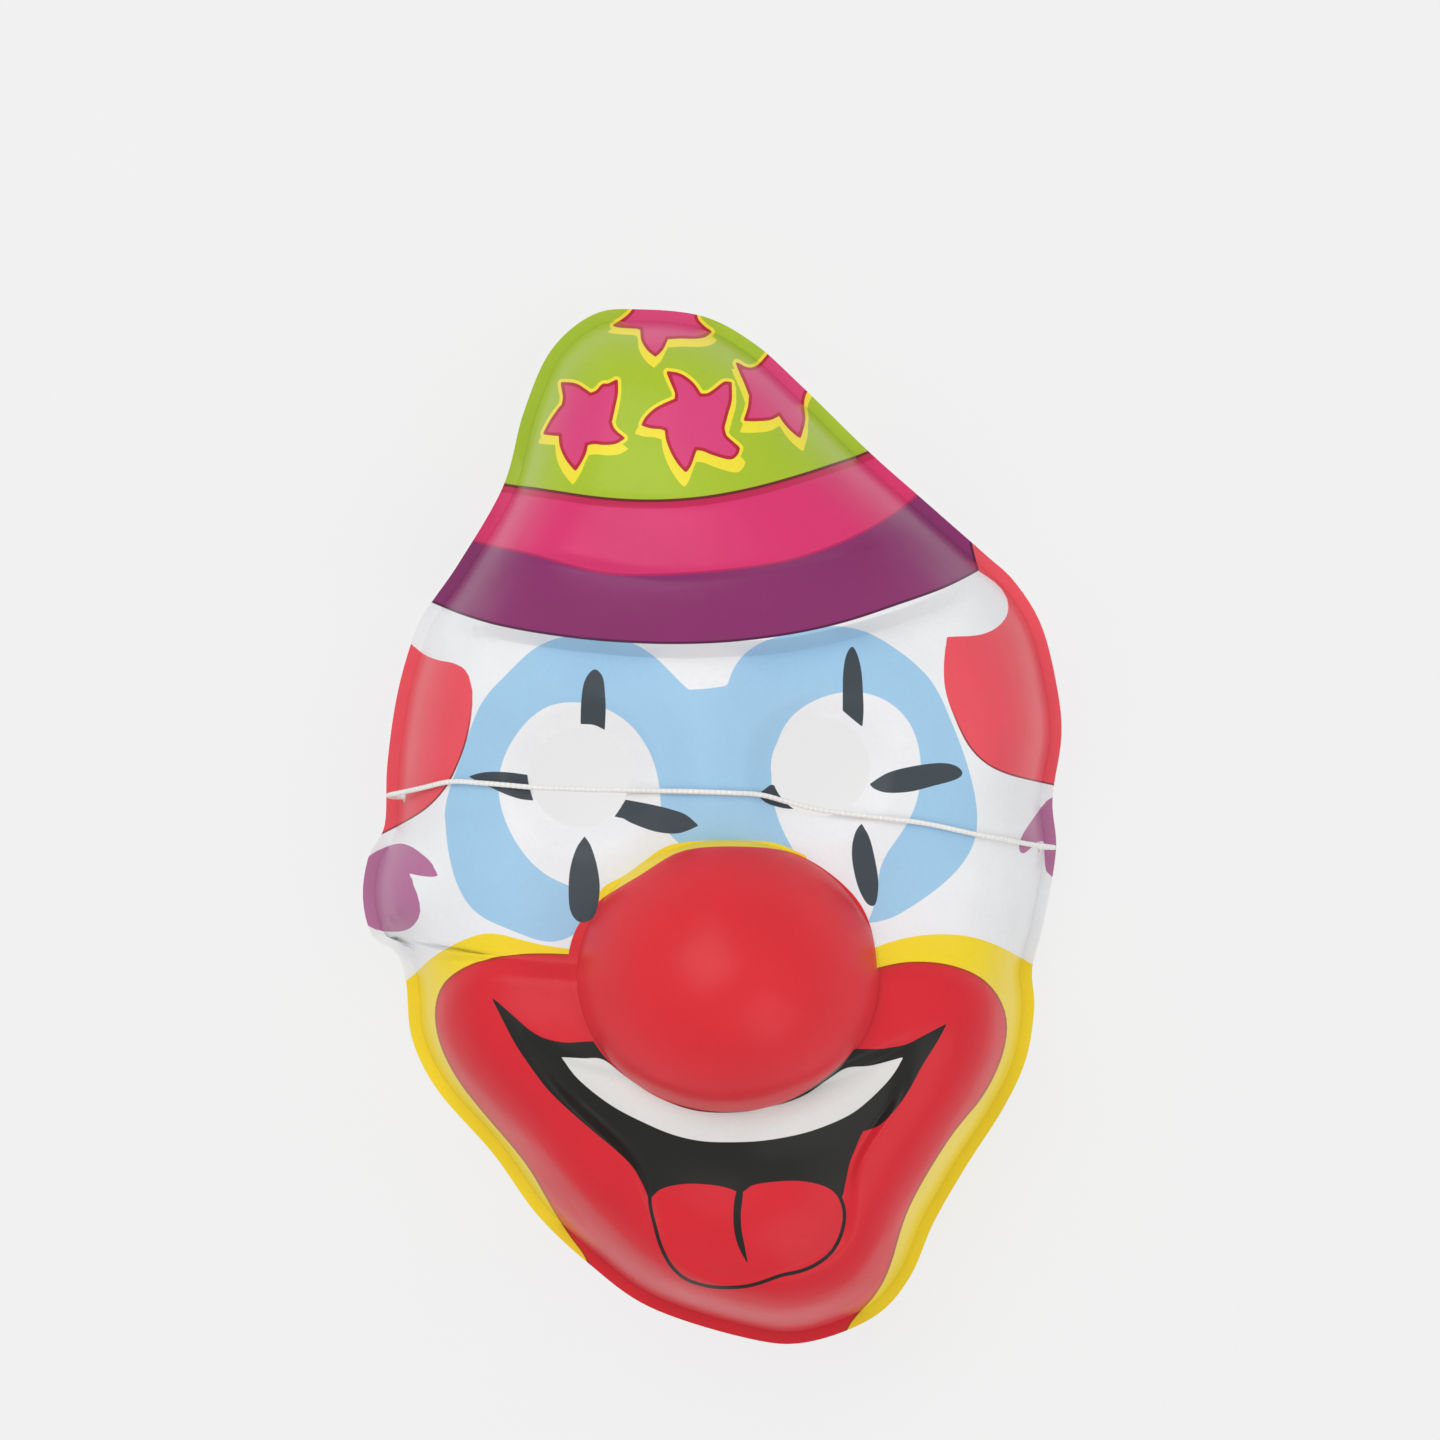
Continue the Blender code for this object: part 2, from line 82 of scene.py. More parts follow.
# %% A smooth curve
def spline(points, steps, closed=False):
    """Catmull-Rom curve: between two places it is a cubic in t whose slope at each place is
    half the step from the place before to the place after."""
    points = np.asarray(points, dtype=float)
    if closed:
        padded = np.vstack((points[-1:], points, points[:2]))
    else:
        padded = np.vstack((2 * points[0] - points[1], points, 2 * points[-1] - points[-2]))
    before, start, end, after = (padded[i:len(padded) - 3 + i, None] for i in range(4))
    t = (np.arange(steps) / steps)[None, :, None]
    curve = start + 0.5 * (
        (end - before) * t
        + (2 * before - 5 * start + 4 * end - after) * t**2
        + (3 * start - before - 3 * end + after) * t**3
    )
    curve = curve.reshape(-1, points.shape[1])
    return curve if closed else np.vstack((curve, points[-1:]))


def unit(vectors):
    """Each vector divided by its length."""
    return vectors / np.linalg.norm(vectors, axis=-1, keepdims=True)


# %% [markdown]
# ## The elastic thread
#
# The thread is rubber with a braided white cover, 1 mm thick. It comes out of the left hole,
# climbs the side wall, spans the left eye, the bridge of the nose and the right eye, and goes into
# the right hole. Over the eyes and beside the face it stands off the sheet by some millimetres.
# A curve with a bevel would do, but a tube made from rings can carry the braid: two sets of
# ridges wind round it in opposite directions.

# %% The thread's route
THREAD_DIAMETER = 0.0010
# Millimetres, from inside the left hole to inside the right one.
THREAD_ROUTE = (
    (-62.0, 6.1, 6.2), (-63.9, 6.1, 6.2), (-65.5, 6.2, 7.0), (-66.0, 6.4, 8.7),
    (-64.9, 6.7, 10.8), (-62.0, 7.3, 14.0), (-58.9, 8.0, 18.4), (-52.9, 9.3, 24.0),
    (-46.3, 9.0, 26.8), (-41.2, 8.6, 28.0), (-36.4, 8.2, 28.3), (-26.7, 7.8, 29.3),
    (-17.0, 7.6, 32.4), (-11.6, 7.5, 34.9), (-5.5, 7.4, 36.8), (-1.4, 7.3, 37.5),
    (4.0, 7.1, 37.3), (9.8, 6.7, 35.4), (15.5, 5.2, 33.3), (22.0, 3.6, 32.3),
    (30.0, 2.5, 32.0), (36.0, 1.8, 31.8), (43.5, 0.8, 29.9), (53.7, -1.4, 26.6),
    (59.2, -2.4, 22.9), (64.2, -3.4, 16.6), (68.3, -4.0, 11.6), (69.7, -4.2, 8.9),
    (69.2, -4.2, 7.0), (67.8, -4.2, 6.2), (65.9, -4.2, 6.2),
)

thread_path = spline(np.array(THREAD_ROUTE) / 1000.0, 24)
thread_along = np.append(0.0, np.cumsum(np.linalg.norm(np.diff(thread_path, axis=0), axis=1)))

# %% [markdown]
# A tube is a row of rings. Each ring stands square to the path, and the ring's own directions
# come from a vector that the path never runs along. The ends are closed with a point each, and
# a quick sum of the volume under every face tells whether the faces look outwards.

# %% Tubes and closed grids
def grid_faces(rings, around):
    """Corner numbers of the four-sided faces of a grid that closes round each ring."""
    first = np.arange(rings - 1)[:, None] * around + np.arange(around)
    ahead = np.arange(rings - 1)[:, None] * around + (np.arange(around) + 1) % around
    return np.stack((first, ahead, ahead + around, first + around), axis=-1).reshape(-1, 4)


def fan_faces(ring, middle):
    """Triangles from a closed ring of corner numbers to the corner in its middle."""
    return np.stack((ring, np.roll(ring, -1), np.full_like(ring, middle)), axis=-1)


def new_mesh(name, points, *faces):
    """A mesh object from an array of points and arrays of faces, shaded smooth."""
    mesh = bpy.data.meshes.new(name)
    corners = [face for part in faces for face in part.tolist()]
    mesh.from_pydata(points.tolist(), [], corners)
    mesh.shade_smooth()
    obj = bpy.data.objects.new(name, mesh)
    bpy.context.scene.collection.objects.link(obj)
    print(f"{name}: {len(points)} points, {len(corners)} faces")
    return obj


def volume(points, faces):
    """Sum of a . (b x c) / 6 over all triangles, positive when the faces look outwards."""
    total = 0.0
    for part in faces:
        corners = points[part]
        for third in range(2, part.shape[1]):
            normal = np.cross(corners[:, third - 1], corners[:, third])
            total += (corners[:, 0] * normal).sum() / 6.0
    return total


def tube(name, path, beside, radius):
    """Rings of radius[i, j] round path[i]: place = path + radius (cos a across + sin a up)."""
    ahead = unit(np.gradient(path, axis=0))
    across = unit(np.cross(beside, ahead))
    up = np.cross(ahead, across)
    rings, around = radius.shape
    angle = np.arange(around) / around * 2 * math.pi
    turn = np.cos(angle)[:, None] * across[:, None] + np.sin(angle)[:, None] * up[:, None]
    points = (path[:, None] + radius[..., None] * turn).reshape(-1, 3)
    points = np.vstack((points, path[:1], path[-1:]))
    last = np.arange(around) + (rings - 1) * around
    start_cap = fan_faces(np.arange(around)[::-1], rings * around)
    end_cap = fan_faces(last, rings * around + 1)
    faces = (grid_faces(rings, around), start_cap, end_cap)
    print(f"{name} encloses {volume(points, faces) * 1e9:.1f} cubic mm")
    return new_mesh(name, points, *faces)


# %% [markdown]
# The ridges of the braid are the product of two waves that wind round the thread in opposite
# directions. The same numbers are kept on its places, so that the material can paint shade
# into the valleys between the ridges.

# %% The thread
THREAD_SIDES = 24
BRAID_PITCH = 0.0022
BRAID_DEPTH = 0.05

wind = thread_along[:, None] * 2 * math.pi / BRAID_PITCH
around_thread = np.arange(THREAD_SIDES)[None, :] / THREAD_SIDES * 2 * math.pi
braid = np.cos(4 * around_thread + wind) * np.cos(4 * around_thread - wind)
thread = tube(
    "elastic_thread",
    thread_path,
    np.array((0.0, 1.0, 0.0)),
    THREAD_DIAMETER / 2 * (1.0 + BRAID_DEPTH * braid),
)
# The braid's waves, kept on the places for the painted shade in the valleys between the ridges.
layer = thread.data.attributes.new("braid", "FLOAT", "POINT")
layer.data.foreach_set("value", np.append(braid, (0.0, 0.0)).astype(np.float32))

# %% [markdown]
# ## The knots
#
# Behind each hole the thread ends in a simple overhand knot, too thick to slip back. Pulled
# tight, such a knot has the shape of a trefoil, so its path is the trefoil's formula. At this
# size its strands run into one another, out of sight behind the wall. A short neck joins it to
# the thread, and a cut end sticks out behind it.

# %% The knots
KNOT_DIAMETER = 0.0034
KNOT_THREAD = 0.00086
KNOT_SPAN = (0.55, 2 * math.pi + 0.10)
KNOT_STRETCH = 1.15
# Millimetres from the knot's middle, x counted the way the thread leaves.
KNOT_TAIL = ((-3.4, 0.9, -0.5), (-2.2, 0.6, 0.1))
KNOT_NECK = ((1.5, 0.0, 0.0), (1.95, 0.0, 0.0))
# Columns: node, middle in millimetres, which way the thread leaves the knot.
KNOTS = (
    ("knot_left", (-60.10, 6.14, 6.2), -1.0),
    ("knot_right", (63.95, -4.24, 6.2), 1.0),
)


def knot_path(middle, way):
    """Cut end, trefoil (sin t + 2 sin 2t, cos t - 2 cos 2t, sin 3t) and neck, in one line."""
    t = np.linspace(*KNOT_SPAN, 60)
    scale = (KNOT_DIAMETER - KNOT_THREAD) / 6
    x = np.sin(t) + 2 * np.sin(2 * t)
    y = np.cos(t) - 2 * np.cos(2 * t)
    z = np.sin(3 * t)
    loops = np.column_stack((KNOT_STRETCH * z * way, y, x * way)) * scale
    tail, neck = (np.array(ends) * (way, 1.0, 1.0) / 1000.0 for ends in (KNOT_TAIL, KNOT_NECK))
    return np.array(middle) / 1000.0 + spline(np.vstack((tail, loops, neck)), 4)


def make_knot(node, middle, way):
    """The knot's tube, with the ring directions taken from how the path bends."""
    path = knot_path(middle, way)
    bend = np.gradient(unit(np.gradient(path, axis=0)), axis=0)
    steady = unit(bend + np.array((0.0, 1e-4, 2e-4)))
    radius = np.full((len(path), 12), KNOT_THREAD / 2)
    return tube(node.replace("knot", "overhand_knot"), path, steady, radius)


knots = {node: make_knot(node, middle, way) for node, middle, way in KNOTS}

# %% [markdown]
# ## The rim
#
# The mask's outline is cut after forming. Forty-five places round it, as shares of the width
# and height, give the tip of the hat, the brim's corners, the hair, the ears, the cheeks and
# the chin. The curve is then scaled so that its box is exactly the mask's.

# %% The rim
MASK_WIDTH = 0.1430
MASK_HEIGHT = 0.2118
MASK_SIZE = np.array((MASK_WIDTH, MASK_HEIGHT))
# Shares of the width and height, clockwise from the hat's tip.
RIM = (
    (-0.103, 0.500), (-0.012, 0.493), (0.060, 0.467), (0.126, 0.427), (0.223, 0.363),
    (0.303, 0.315), (0.392, 0.262), (0.432, 0.237), (0.470, 0.196), (0.492, 0.140),
    (0.500, 0.088), (0.487, 0.026), (0.492, -0.024), (0.474, -0.094), (0.458, -0.138),
    (0.461, -0.176), (0.449, -0.226), (0.417, -0.273), (0.363, -0.330), (0.317, -0.384),
    (0.282, -0.438), (0.230, -0.476), (0.135, -0.500), (0.050, -0.496), (-0.089, -0.466),
    (-0.178, -0.423), (-0.251, -0.376), (-0.314, -0.317), (-0.393, -0.256), (-0.430, -0.205),
    (-0.438, -0.152), (-0.452, -0.122), (-0.486, -0.107), (-0.500, -0.070), (-0.492, -0.030),
    (-0.469, 0.000), (-0.465, 0.060), (-0.450, 0.130), (-0.424, 0.190), (-0.402, 0.216),
    (-0.362, 0.255), (-0.299, 0.329), (-0.270, 0.400), (-0.231, 0.460), (-0.170, 0.495),
)

rim = spline(RIM, 12, closed=True)
low, high = rim.min(axis=0), rim.max(axis=0)
rim = (rim - (low + high) / 2) / (high - low) * MASK_SIZE
print(f"rim of {len(rim)} places round {MASK_WIDTH * 1000:.0f} x {MASK_HEIGHT * 1000:.0f} mm")

# %% [markdown]
# ## Distance to an outline
#
# Both the form and the print need one number: how far a place lies inside an outline. It is
# the distance to the nearest edge, counted negative outside. Going round the outline edge by
# edge and treating all places at once keeps the arrays small.

# %% Depth inside an outline
def inside_depth(x, y, ring):
    """Least distance to any edge of the ring; a place is inside where a line from it to the
    right crosses the ring an odd number of times."""
    nearest = np.full(x.shape, np.inf)
    inside = np.zeros(x.shape, dtype=bool)
    for (ax, ay), (bx, by) in zip(ring, np.roll(ring, -1, axis=0)):
        ex, ey = bx - ax, by - ay
        share = np.clip(((x - ax) * ex + (y - ay) * ey) / (ex * ex + ey * ey + 1e-18), 0.0, 1.0)
        gap = (x - ax - share * ex) ** 2 + (y - ay - share * ey) ** 2
        nearest = np.minimum(nearest, gap)
        if ay != by:
            inside ^= ((ay > y) != (by > y)) & (x < ax + (y - ay) * ex / ey)
    return np.where(inside, 1.0, -1.0) * np.sqrt(nearest)


def ease(value):
    """Smooth step from 0 to 1: 3 v^2 - 2 v^3."""
    value = np.clip(value, 0.0, 1.0)
    return value * value * (3.0 - 2.0 * value)


def above_curve(x, y, curve):
    """Height of each place above an open curve given as shares of the width and height."""
    line = spline(np.array(curve) * MASK_SIZE, 12)
    return y - np.interp(x, line[:, 0], line[:, 1])


# %% [markdown]
# ## The face and the hat
#
# The broad form is a crest down the middle that falls away to both sides, like a shell. The
# table gives the crest and the fall at twelve heights. Soft swellings lie on it: the bridge of
# the nose, the cheeks, the hair, the ears, the lips' lobes, the chin and the hat's tip.

# %% The broad form
FACE_DEPTH = 0.0340
# Share of the height, then crest and side fall as shares of the face's depth.
SECTIONS = (
    (0.500, 0.44, 0.26), (0.420, 0.68, 0.26), (0.330, 0.88, 0.24), (0.250, 0.98, 0.19),
    (0.160, 1.02, 0.15), (0.045, 1.00, 0.14), (-0.120, 0.99, 0.13), (-0.220, 1.00, 0.13),
    (-0.310, 0.96, 0.14), (-0.390, 0.87, 0.17), (-0.450, 0.75, 0.20), (-0.500, 0.58, 0.24),
)
# Middle and half size as shares of the width and height, rise as a share of the depth.
SWELLINGS = (
    (0.000, 0.040, 0.060, 0.090, 0.06), (-0.330, -0.070, 0.100, 0.060, 0.06),
    (0.370, -0.060, 0.090, 0.060, 0.06), (-0.410, 0.090, 0.060, 0.080, 0.05),
    (0.420, 0.100, 0.070, 0.080, 0.05), (-0.460, -0.060, 0.035, 0.035, 0.07),
    (0.470, -0.030, 0.025, 0.035, 0.05), (-0.310, -0.190, 0.090, 0.050, 0.05),
    (0.330, -0.190, 0.090, 0.050, 0.05), (0.060, -0.455, 0.150, 0.045, 0.09),
    (-0.080, 0.440, 0.120, 0.050, 0.05),
)


def bell(x, y, middle, half):
    """exp(-(u^2 + v^2)), where u and v are the steps from the middle in half sizes."""
    u = (x / MASK_WIDTH - middle[0]) / half[0]
    v = (y / MASK_HEIGHT - middle[1]) / half[1]
    return np.exp(-(u * u + v * v))


def face_form(x, y):
    """Crest minus fall times the square of the distance to the side, plus the swellings."""
    place = y / MASK_HEIGHT
    levels = spline(SECTIONS[::-1], 8)
    crest = np.interp(place, levels[:, 0], levels[:, 1])
    fall = np.interp(place, levels[:, 0], levels[:, 2])
    middle = np.interp(place, (0.15, 0.45), (0.02, -0.07)) * MASK_WIDTH
    side = (x - middle) / (MASK_WIDTH / 4)
    height = crest - fall * side * side
    for across, up, half_across, half_up, rise in SWELLINGS:
        height = height + rise * bell(x, y, (across, up), (half_across, half_up))
    return FACE_DEPTH * height


# %% [markdown]
# The hat is only a relief on the same sheet. Its band stands a little proud, and its brim
# flares out from the band's foot and tucks back under in a crisp step.

# %% The hat
BAND_RISE = 0.0012
BRIM_WIDTH = 0.0135
BRIM_FLARE = 0.0060
BRIM_TUCK = 0.0030
FLARE_POWER = 1.5
BRIM_EDGE = (
    (-0.430, 0.214), (-0.270, 0.190), (-0.100, 0.177), (0.015, 0.177),
    (0.130, 0.184), (0.270, 0.210), (0.400, 0.250),
)
BAND_TOP = (
    (-0.320, 0.325), (-0.160, 0.315), (-0.015, 0.312), (0.125, 0.332), (0.240, 0.364),
)
BAND_FOOT = (
    (-0.345, 0.272), (-0.217, 0.257), (-0.045, 0.240), (0.126, 0.255), (0.226, 0.272),
    (0.300, 0.312),
)


def hat_relief(x, y):
    """Band between its two edges, and a flare that grows as (1 - distance / width)^1.5."""
    soft = BRIM_TUCK / 2
    over_foot = above_curve(x, y, BAND_FOOT) + soft
    under_top = soft - above_curve(x, y, BAND_TOP)
    band = ease(over_foot / BRIM_TUCK) * ease(under_top / BRIM_TUCK)
    over_brim = above_curve(x, y, BRIM_EDGE)
    flare = 1.0 - np.clip(over_brim / BRIM_WIDTH, 0.0, 1.0)
    return BAND_RISE * band + BRIM_FLARE * flare**FLARE_POWER * ease(over_brim / BRIM_TUCK + 1.0)


# %% [markdown]
# ## The nose, the eyes and the mouth
#
# The nose is an oval dome with a steep foot. Each eye hole sits in a shallow round socket. The
# lips are a raised pad, the mouth is sunk into them, and the teeth and tongue rise in it.

# %% The features
NOSE_MIDDLE = np.array((0.023, -0.141)) * MASK_SIZE
NOSE_HALF = np.array((0.0612, 0.0550)) / 2
NOSE_RISE = 0.0225
NOSE_POWER = 0.7
EYE_RADIUS = 0.0100
SOCKET_DROP = 0.0032
SOCKET_RADIUS = 0.0165
EYE_SPACING = 0.0486
EYE_MIDDLE = -0.017 * MASK_WIDTH
EYES = (
    (EYE_MIDDLE - EYE_SPACING / 2, 0.048 * MASK_HEIGHT),
    (EYE_MIDDLE + EYE_SPACING / 2, 0.058 * MASK_HEIGHT),
)
LIP_RISE = 0.0030
LIP_EDGE = 0.0050
SLOPE_COVER = 0.4
MOUTH_DROP = 0.0026
MOUTH_EDGE = 0.0028
# Shares of the width: the mouth's middle, and where it fades out and how quickly.
MOUTH_CENTRE = 0.011
CORNER_REACH = 0.285
CORNER_FADE = 0.06
TONGUE_RISE = 0.0034
TEETH_RISE = 0.0014
LIPS = (
    (-0.330, -0.134), (-0.200, -0.138), (0.020, -0.140), (0.235, -0.134), (0.340, -0.137),
    (0.405, -0.162), (0.400, -0.225), (0.330, -0.315), (0.255, -0.395), (0.180, -0.455),
    (0.060, -0.470), (-0.100, -0.420), (-0.240, -0.320), (-0.370, -0.230), (-0.395, -0.175),
)
MOUTH = (
    (-0.296, -0.180), (-0.215, -0.218), (-0.110, -0.240), (0.020, -0.262), (0.150, -0.240),
    (0.240, -0.215), (0.318, -0.192), (0.265, -0.255), (0.205, -0.320), (0.180, -0.400),
    (0.040, -0.434), (-0.060, -0.400), (-0.110, -0.320), (-0.205, -0.255),
)
TEETH_LINE = (
    (-0.190, -0.228), (-0.100, -0.262), (0.040, -0.284), (0.170, -0.262), (0.255, -0.228),
)


def nose_cover(x, y):
    """1 - u^2 - v^2 inside the nose's oval, 0 outside, u and v being steps in half sizes."""
    u = (x - NOSE_MIDDLE[0]) / NOSE_HALF[0]
    v = (y - NOSE_MIDDLE[1]) / NOSE_HALF[1]
    return np.clip(1.0 - u * u - v * v, 0.0, 1.0)


def nose_relief(x, y):
    """Rise times the cover to the power of 0.7: round on top, steep at the foot."""
    return NOSE_RISE * nose_cover(x, y) ** NOSE_POWER


def eye_relief(x, y):
    """A dish about each eye, deepest in its middle."""
    away = [np.hypot(x - middle[0], y - middle[1]) / SOCKET_RADIUS for middle in EYES]
    return -SOCKET_DROP * sum(1.0 - ease(d * d) for d in away)


def mouth_relief(x, y):
    """Lips up, mouth down, then the band of teeth and the tongue up again inside it. Under the
    nose the lips' edge becomes one long slope, so that it leaves no crease in the nose, and the
    mouth grows shallow towards its pointed corners."""
    lips = ease(inside_depth(x, y, spline(LIPS * MASK_SIZE, 6, closed=True)) / LIP_EDGE + 0.5)
    mouth = ease(inside_depth(x, y, spline(MOUTH * MASK_SIZE, 6, closed=True)) / MOUTH_EDGE + 0.5)
    teeth = np.exp(-((above_curve(x, y, TEETH_LINE) / (2 * MOUTH_EDGE)) ** 2))
    tongue = bell(x, y, (0.050, -0.385), (0.125, 0.052))
    cover = ease(nose_cover(x, y) / SLOPE_COVER)
    slope = ease(0.5 - (y - NOSE_MIDDLE[1]) / (2 * NOSE_HALF[1]))
    corners = ease((CORNER_REACH - abs(x / MASK_WIDTH - MOUTH_CENTRE)) / CORNER_FADE)
    sunk = mouth * (1.0 - cover) * (MOUTH_DROP - TEETH_RISE * teeth - TONGUE_RISE * tongue)
    return LIP_RISE * (lips + (slope - lips) * cover) - sunk * corners


# %% [markdown]
# ## The side wall and the lip
#
# A formed sheet comes down to the mould's base in a steep wall and runs out into a narrow flat
# lip, where it is cut. The wall is steepest at its foot: its height is a share 1 - exp(-d / 4 mm)
# of the form above, d being the distance from the lip.

# %% The height of the sheet
WALL = 0.0007
LIP_WIDTH = 0.0024
SIDE_RUN = 0.0040
HAT_FADE = 0.0110
LEAST_FORM = 0.25


def sheet_height(x, y):
    """Wall thickness plus (1 - exp(-d / run)) times the sum of all the forms."""
    inwards = np.clip(inside_depth(x, y, rim) - LIP_WIDTH, 0.0, None)
    height = face_form(x, y) + eye_relief(x, y) + mouth_relief(x, y) + nose_relief(x, y)
    height = height + hat_relief(x, y) * ease(inwards / HAT_FADE)
    height = np.clip(height, LEAST_FORM * FACE_DEPTH, None)
    return WALL + (1.0 - np.exp(-inwards / SIDE_RUN)) * height


# %% [markdown]
# ## A grid of rings
#
# The sheet is laid out in rings round the nose, from the rim inwards. Square cells would show
# steps wherever a crease crosses them, so the rings follow the creases instead: some keep to
# the lip, more of them climb the wall by equal heights, one follows the brim's edge and one its
# tuck, and the last ones follow the nose's foot.

# %% The rays
RAYS = 398
RIM_EVENNESS = 0.7
THREAD_HOLES = ((-1.0, 0.029 * MASK_HEIGHT), (1.0, -0.020 * MASK_HEIGHT))
HOLE_CROWDING = 2.4
HOLE_REACH = 0.0032
HAT_CROWDING = 1.9
HAT_START = 0.052
HAT_BLEND = 0.018
LEAST_LEAN = 0.5

ray = rim - NOSE_MIDDLE
order = np.argsort(np.arctan2(ray[:, 1], ray[:, 0]))
edge_angle = np.arctan2(ray[:, 1], ray[:, 0])[order]
edge_radius = np.hypot(ray[:, 0], ray[:, 1])[order]
along = np.roll(rim, -2, axis=0) - np.roll(rim, 2, axis=0)
across_ray = np.abs(along[:, 1] * ray[:, 0] - along[:, 0] * ray[:, 1])
lean = across_ray / np.hypot(ray[:, 0], ray[:, 1]) / np.hypot(along[:, 0], along[:, 1])
edge_lean = np.clip(lean[order], LEAST_LEAN, 1.0)

step = np.linalg.norm(np.diff(rim[order], axis=0, append=rim[order][:1]), axis=1)
turned = np.diff(edge_angle, append=edge_angle[0] + 2 * math.pi) / (2 * math.pi)
weight = RIM_EVENNESS * step / step.sum() + (1.0 - RIM_EVENNESS) * turned
for side, height in THREAD_HOLES:
    near = np.exp(-(((rim[order][:, 1] - height) / HOLE_REACH) ** 2))
    weight = weight * (1.0 + HOLE_CROWDING * (near * (rim[order][:, 0] * side > 0)))
weight = weight * (1.0 + HAT_CROWDING * ease((rim[order][:, 1] - HAT_START) / HAT_BLEND))
share = np.append(0.0, np.cumsum(weight)) / weight.sum()
angles = np.interp(
    np.arange(RAYS) / RAYS, share, np.append(edge_angle, edge_angle[0] + 2 * math.pi)
)
print(f"{RAYS} rays, the widest turn between two is {np.degrees(np.diff(angles).max()):.2f} degrees")

# %% [markdown]
# Along each ray the radii are found from the outside in. Where the rim is slanted to the ray, a
# step across the lip or wall is a longer step along the ray, so it is divided by the lean.

# %% The rings
LIP_RINGS = 2
WALL_RINGS = 18
WALL_SHARE = 0.84
HAT_RINGS = 50
TUCK_RINGS = 3
FACE_RINGS = 36
NOSE_RINGS = 12
# Where the brim's edge is looked for, as shares of the way out from the nose's foot.
BRIM_NEAR = 0.32
BRIM_FAR = 0.5
BRIM_FARTHER = 0.485
BRIM_TRIALS = 1200

radius = np.interp(angles, edge_angle, edge_radius, period=2 * math.pi)
lean = np.interp(angles, edge_angle, edge_lean, period=2 * math.pi)
lip_steps = np.linspace(0.0, LIP_WIDTH, LIP_RINGS, endpoint=False)
climbed = np.linspace(0.0, WALL_SHARE, WALL_RINGS)
wall_steps = LIP_WIDTH - SIDE_RUN * np.log(1.0 - climbed)
outer_rings = radius - np.append(lip_steps, wall_steps)[:, None] / lean
foot = 1.0 / np.hypot(np.cos(angles) / NOSE_HALF[0], np.sin(angles) / NOSE_HALF[1])
span = outer_rings[-1] - foot

near_foot = foot + BRIM_NEAR * span
far_foot = foot + (BRIM_FAR + BRIM_FARTHER * ease(2.0 * np.sin(angles) - 0.2)) * span
trial = near_foot + (far_foot - near_foot) * np.linspace(0.0, 1.0, BRIM_TRIALS)[:, None]
trial_x = NOSE_MIDDLE[0] + trial * np.cos(angles)
trial_y = NOSE_MIDDLE[1] + trial * np.sin(angles)
rising = above_curve(trial_x, trial_y, BRIM_EDGE)
brim = near_foot + (far_foot - near_foot) * np.mean(rising < 0.0, axis=0)
tucked = near_foot + (far_foot - near_foot) * np.mean(rising < -BRIM_TUCK, axis=0)
tuck = np.minimum(brim - BRIM_TUCK, tucked)


def between(outer, inner, count):
    """Rings at even steps from the outer radius inwards, short of the inner one."""
    return outer + (inner - outer) * (np.arange(count) / count)[:, None]


nose_turn = np.cos(0.5 * math.pi * np.arange(NOSE_RINGS) / NOSE_RINGS)[:, None]
radii = np.vstack((
    outer_rings[:-1],
    between(outer_rings[-1], brim, HAT_RINGS),
    between(brim, tuck, TUCK_RINGS),
    between(tuck, foot, FACE_RINGS),
    foot * nose_turn,
))
print(f"{len(radii)} rings, {len(radii) * RAYS} places")

# %% [markdown]
# ## The holes
#
# The two eye holes are punched straight through, 20 mm across, and a small hole goes through
# each side wall for the thread. On the grid a round hole is made in two moves: the faces whose
# middle lies in the circle go, and the places left along the gap are moved onto the circle and
# spread evenly.

# %% The holes
THREAD_HOLE_RADIUS = 0.0012
THREAD_HOLE_HEIGHT = 0.0062
SIDE_START = 0.055
SLIDES = 8
WALL_CREST = 0.8

flat = np.stack((
    NOSE_MIDDLE[0] + radii * np.cos(angles), NOSE_MIDDLE[1] + radii * np.sin(angles)
), axis=-1).reshape(-1, 2)
faces = grid_faces(len(radii), RAYS)


def punch(places, faces, middle, radius):
    """Drop the faces whose middle is nearer than the radius, and any that would have all its
    corners on the circle. The places round the gap go onto the circle, and each slides towards
    its two neighbours there, over and over."""
    inside = np.linalg.norm(places[faces].mean(axis=1) - middle, axis=1) < radius
    inside |= np.isin(faces, np.intersect1d(faces[inside], faces[~inside])).all(axis=1)
    sides = np.stack((faces, np.roll(faces, -1, axis=1)), axis=-1)
    gone, kept = sides[inside].reshape(-1, 2), sides[~inside].reshape(-1, 2)
    label = np.array((len(places), 1))
    shared = gone[np.isin(gone @ label, kept[:, ::-1] @ label)]
    edge = np.unique(shared)
    one, other = np.searchsorted(edge, shared.T)
    spoke = unit(places[edge] - middle)
    for _ in range(SLIDES):
        pull = np.zeros_like(spoke)
        np.add.at(pull, one, spoke[other])
        np.add.at(pull, other, spoke[one])
        spoke = unit(2.0 * spoke + pull)
    moved = places.copy()
    moved[edge] = middle + radius * spoke
    return moved, faces[~inside], edge


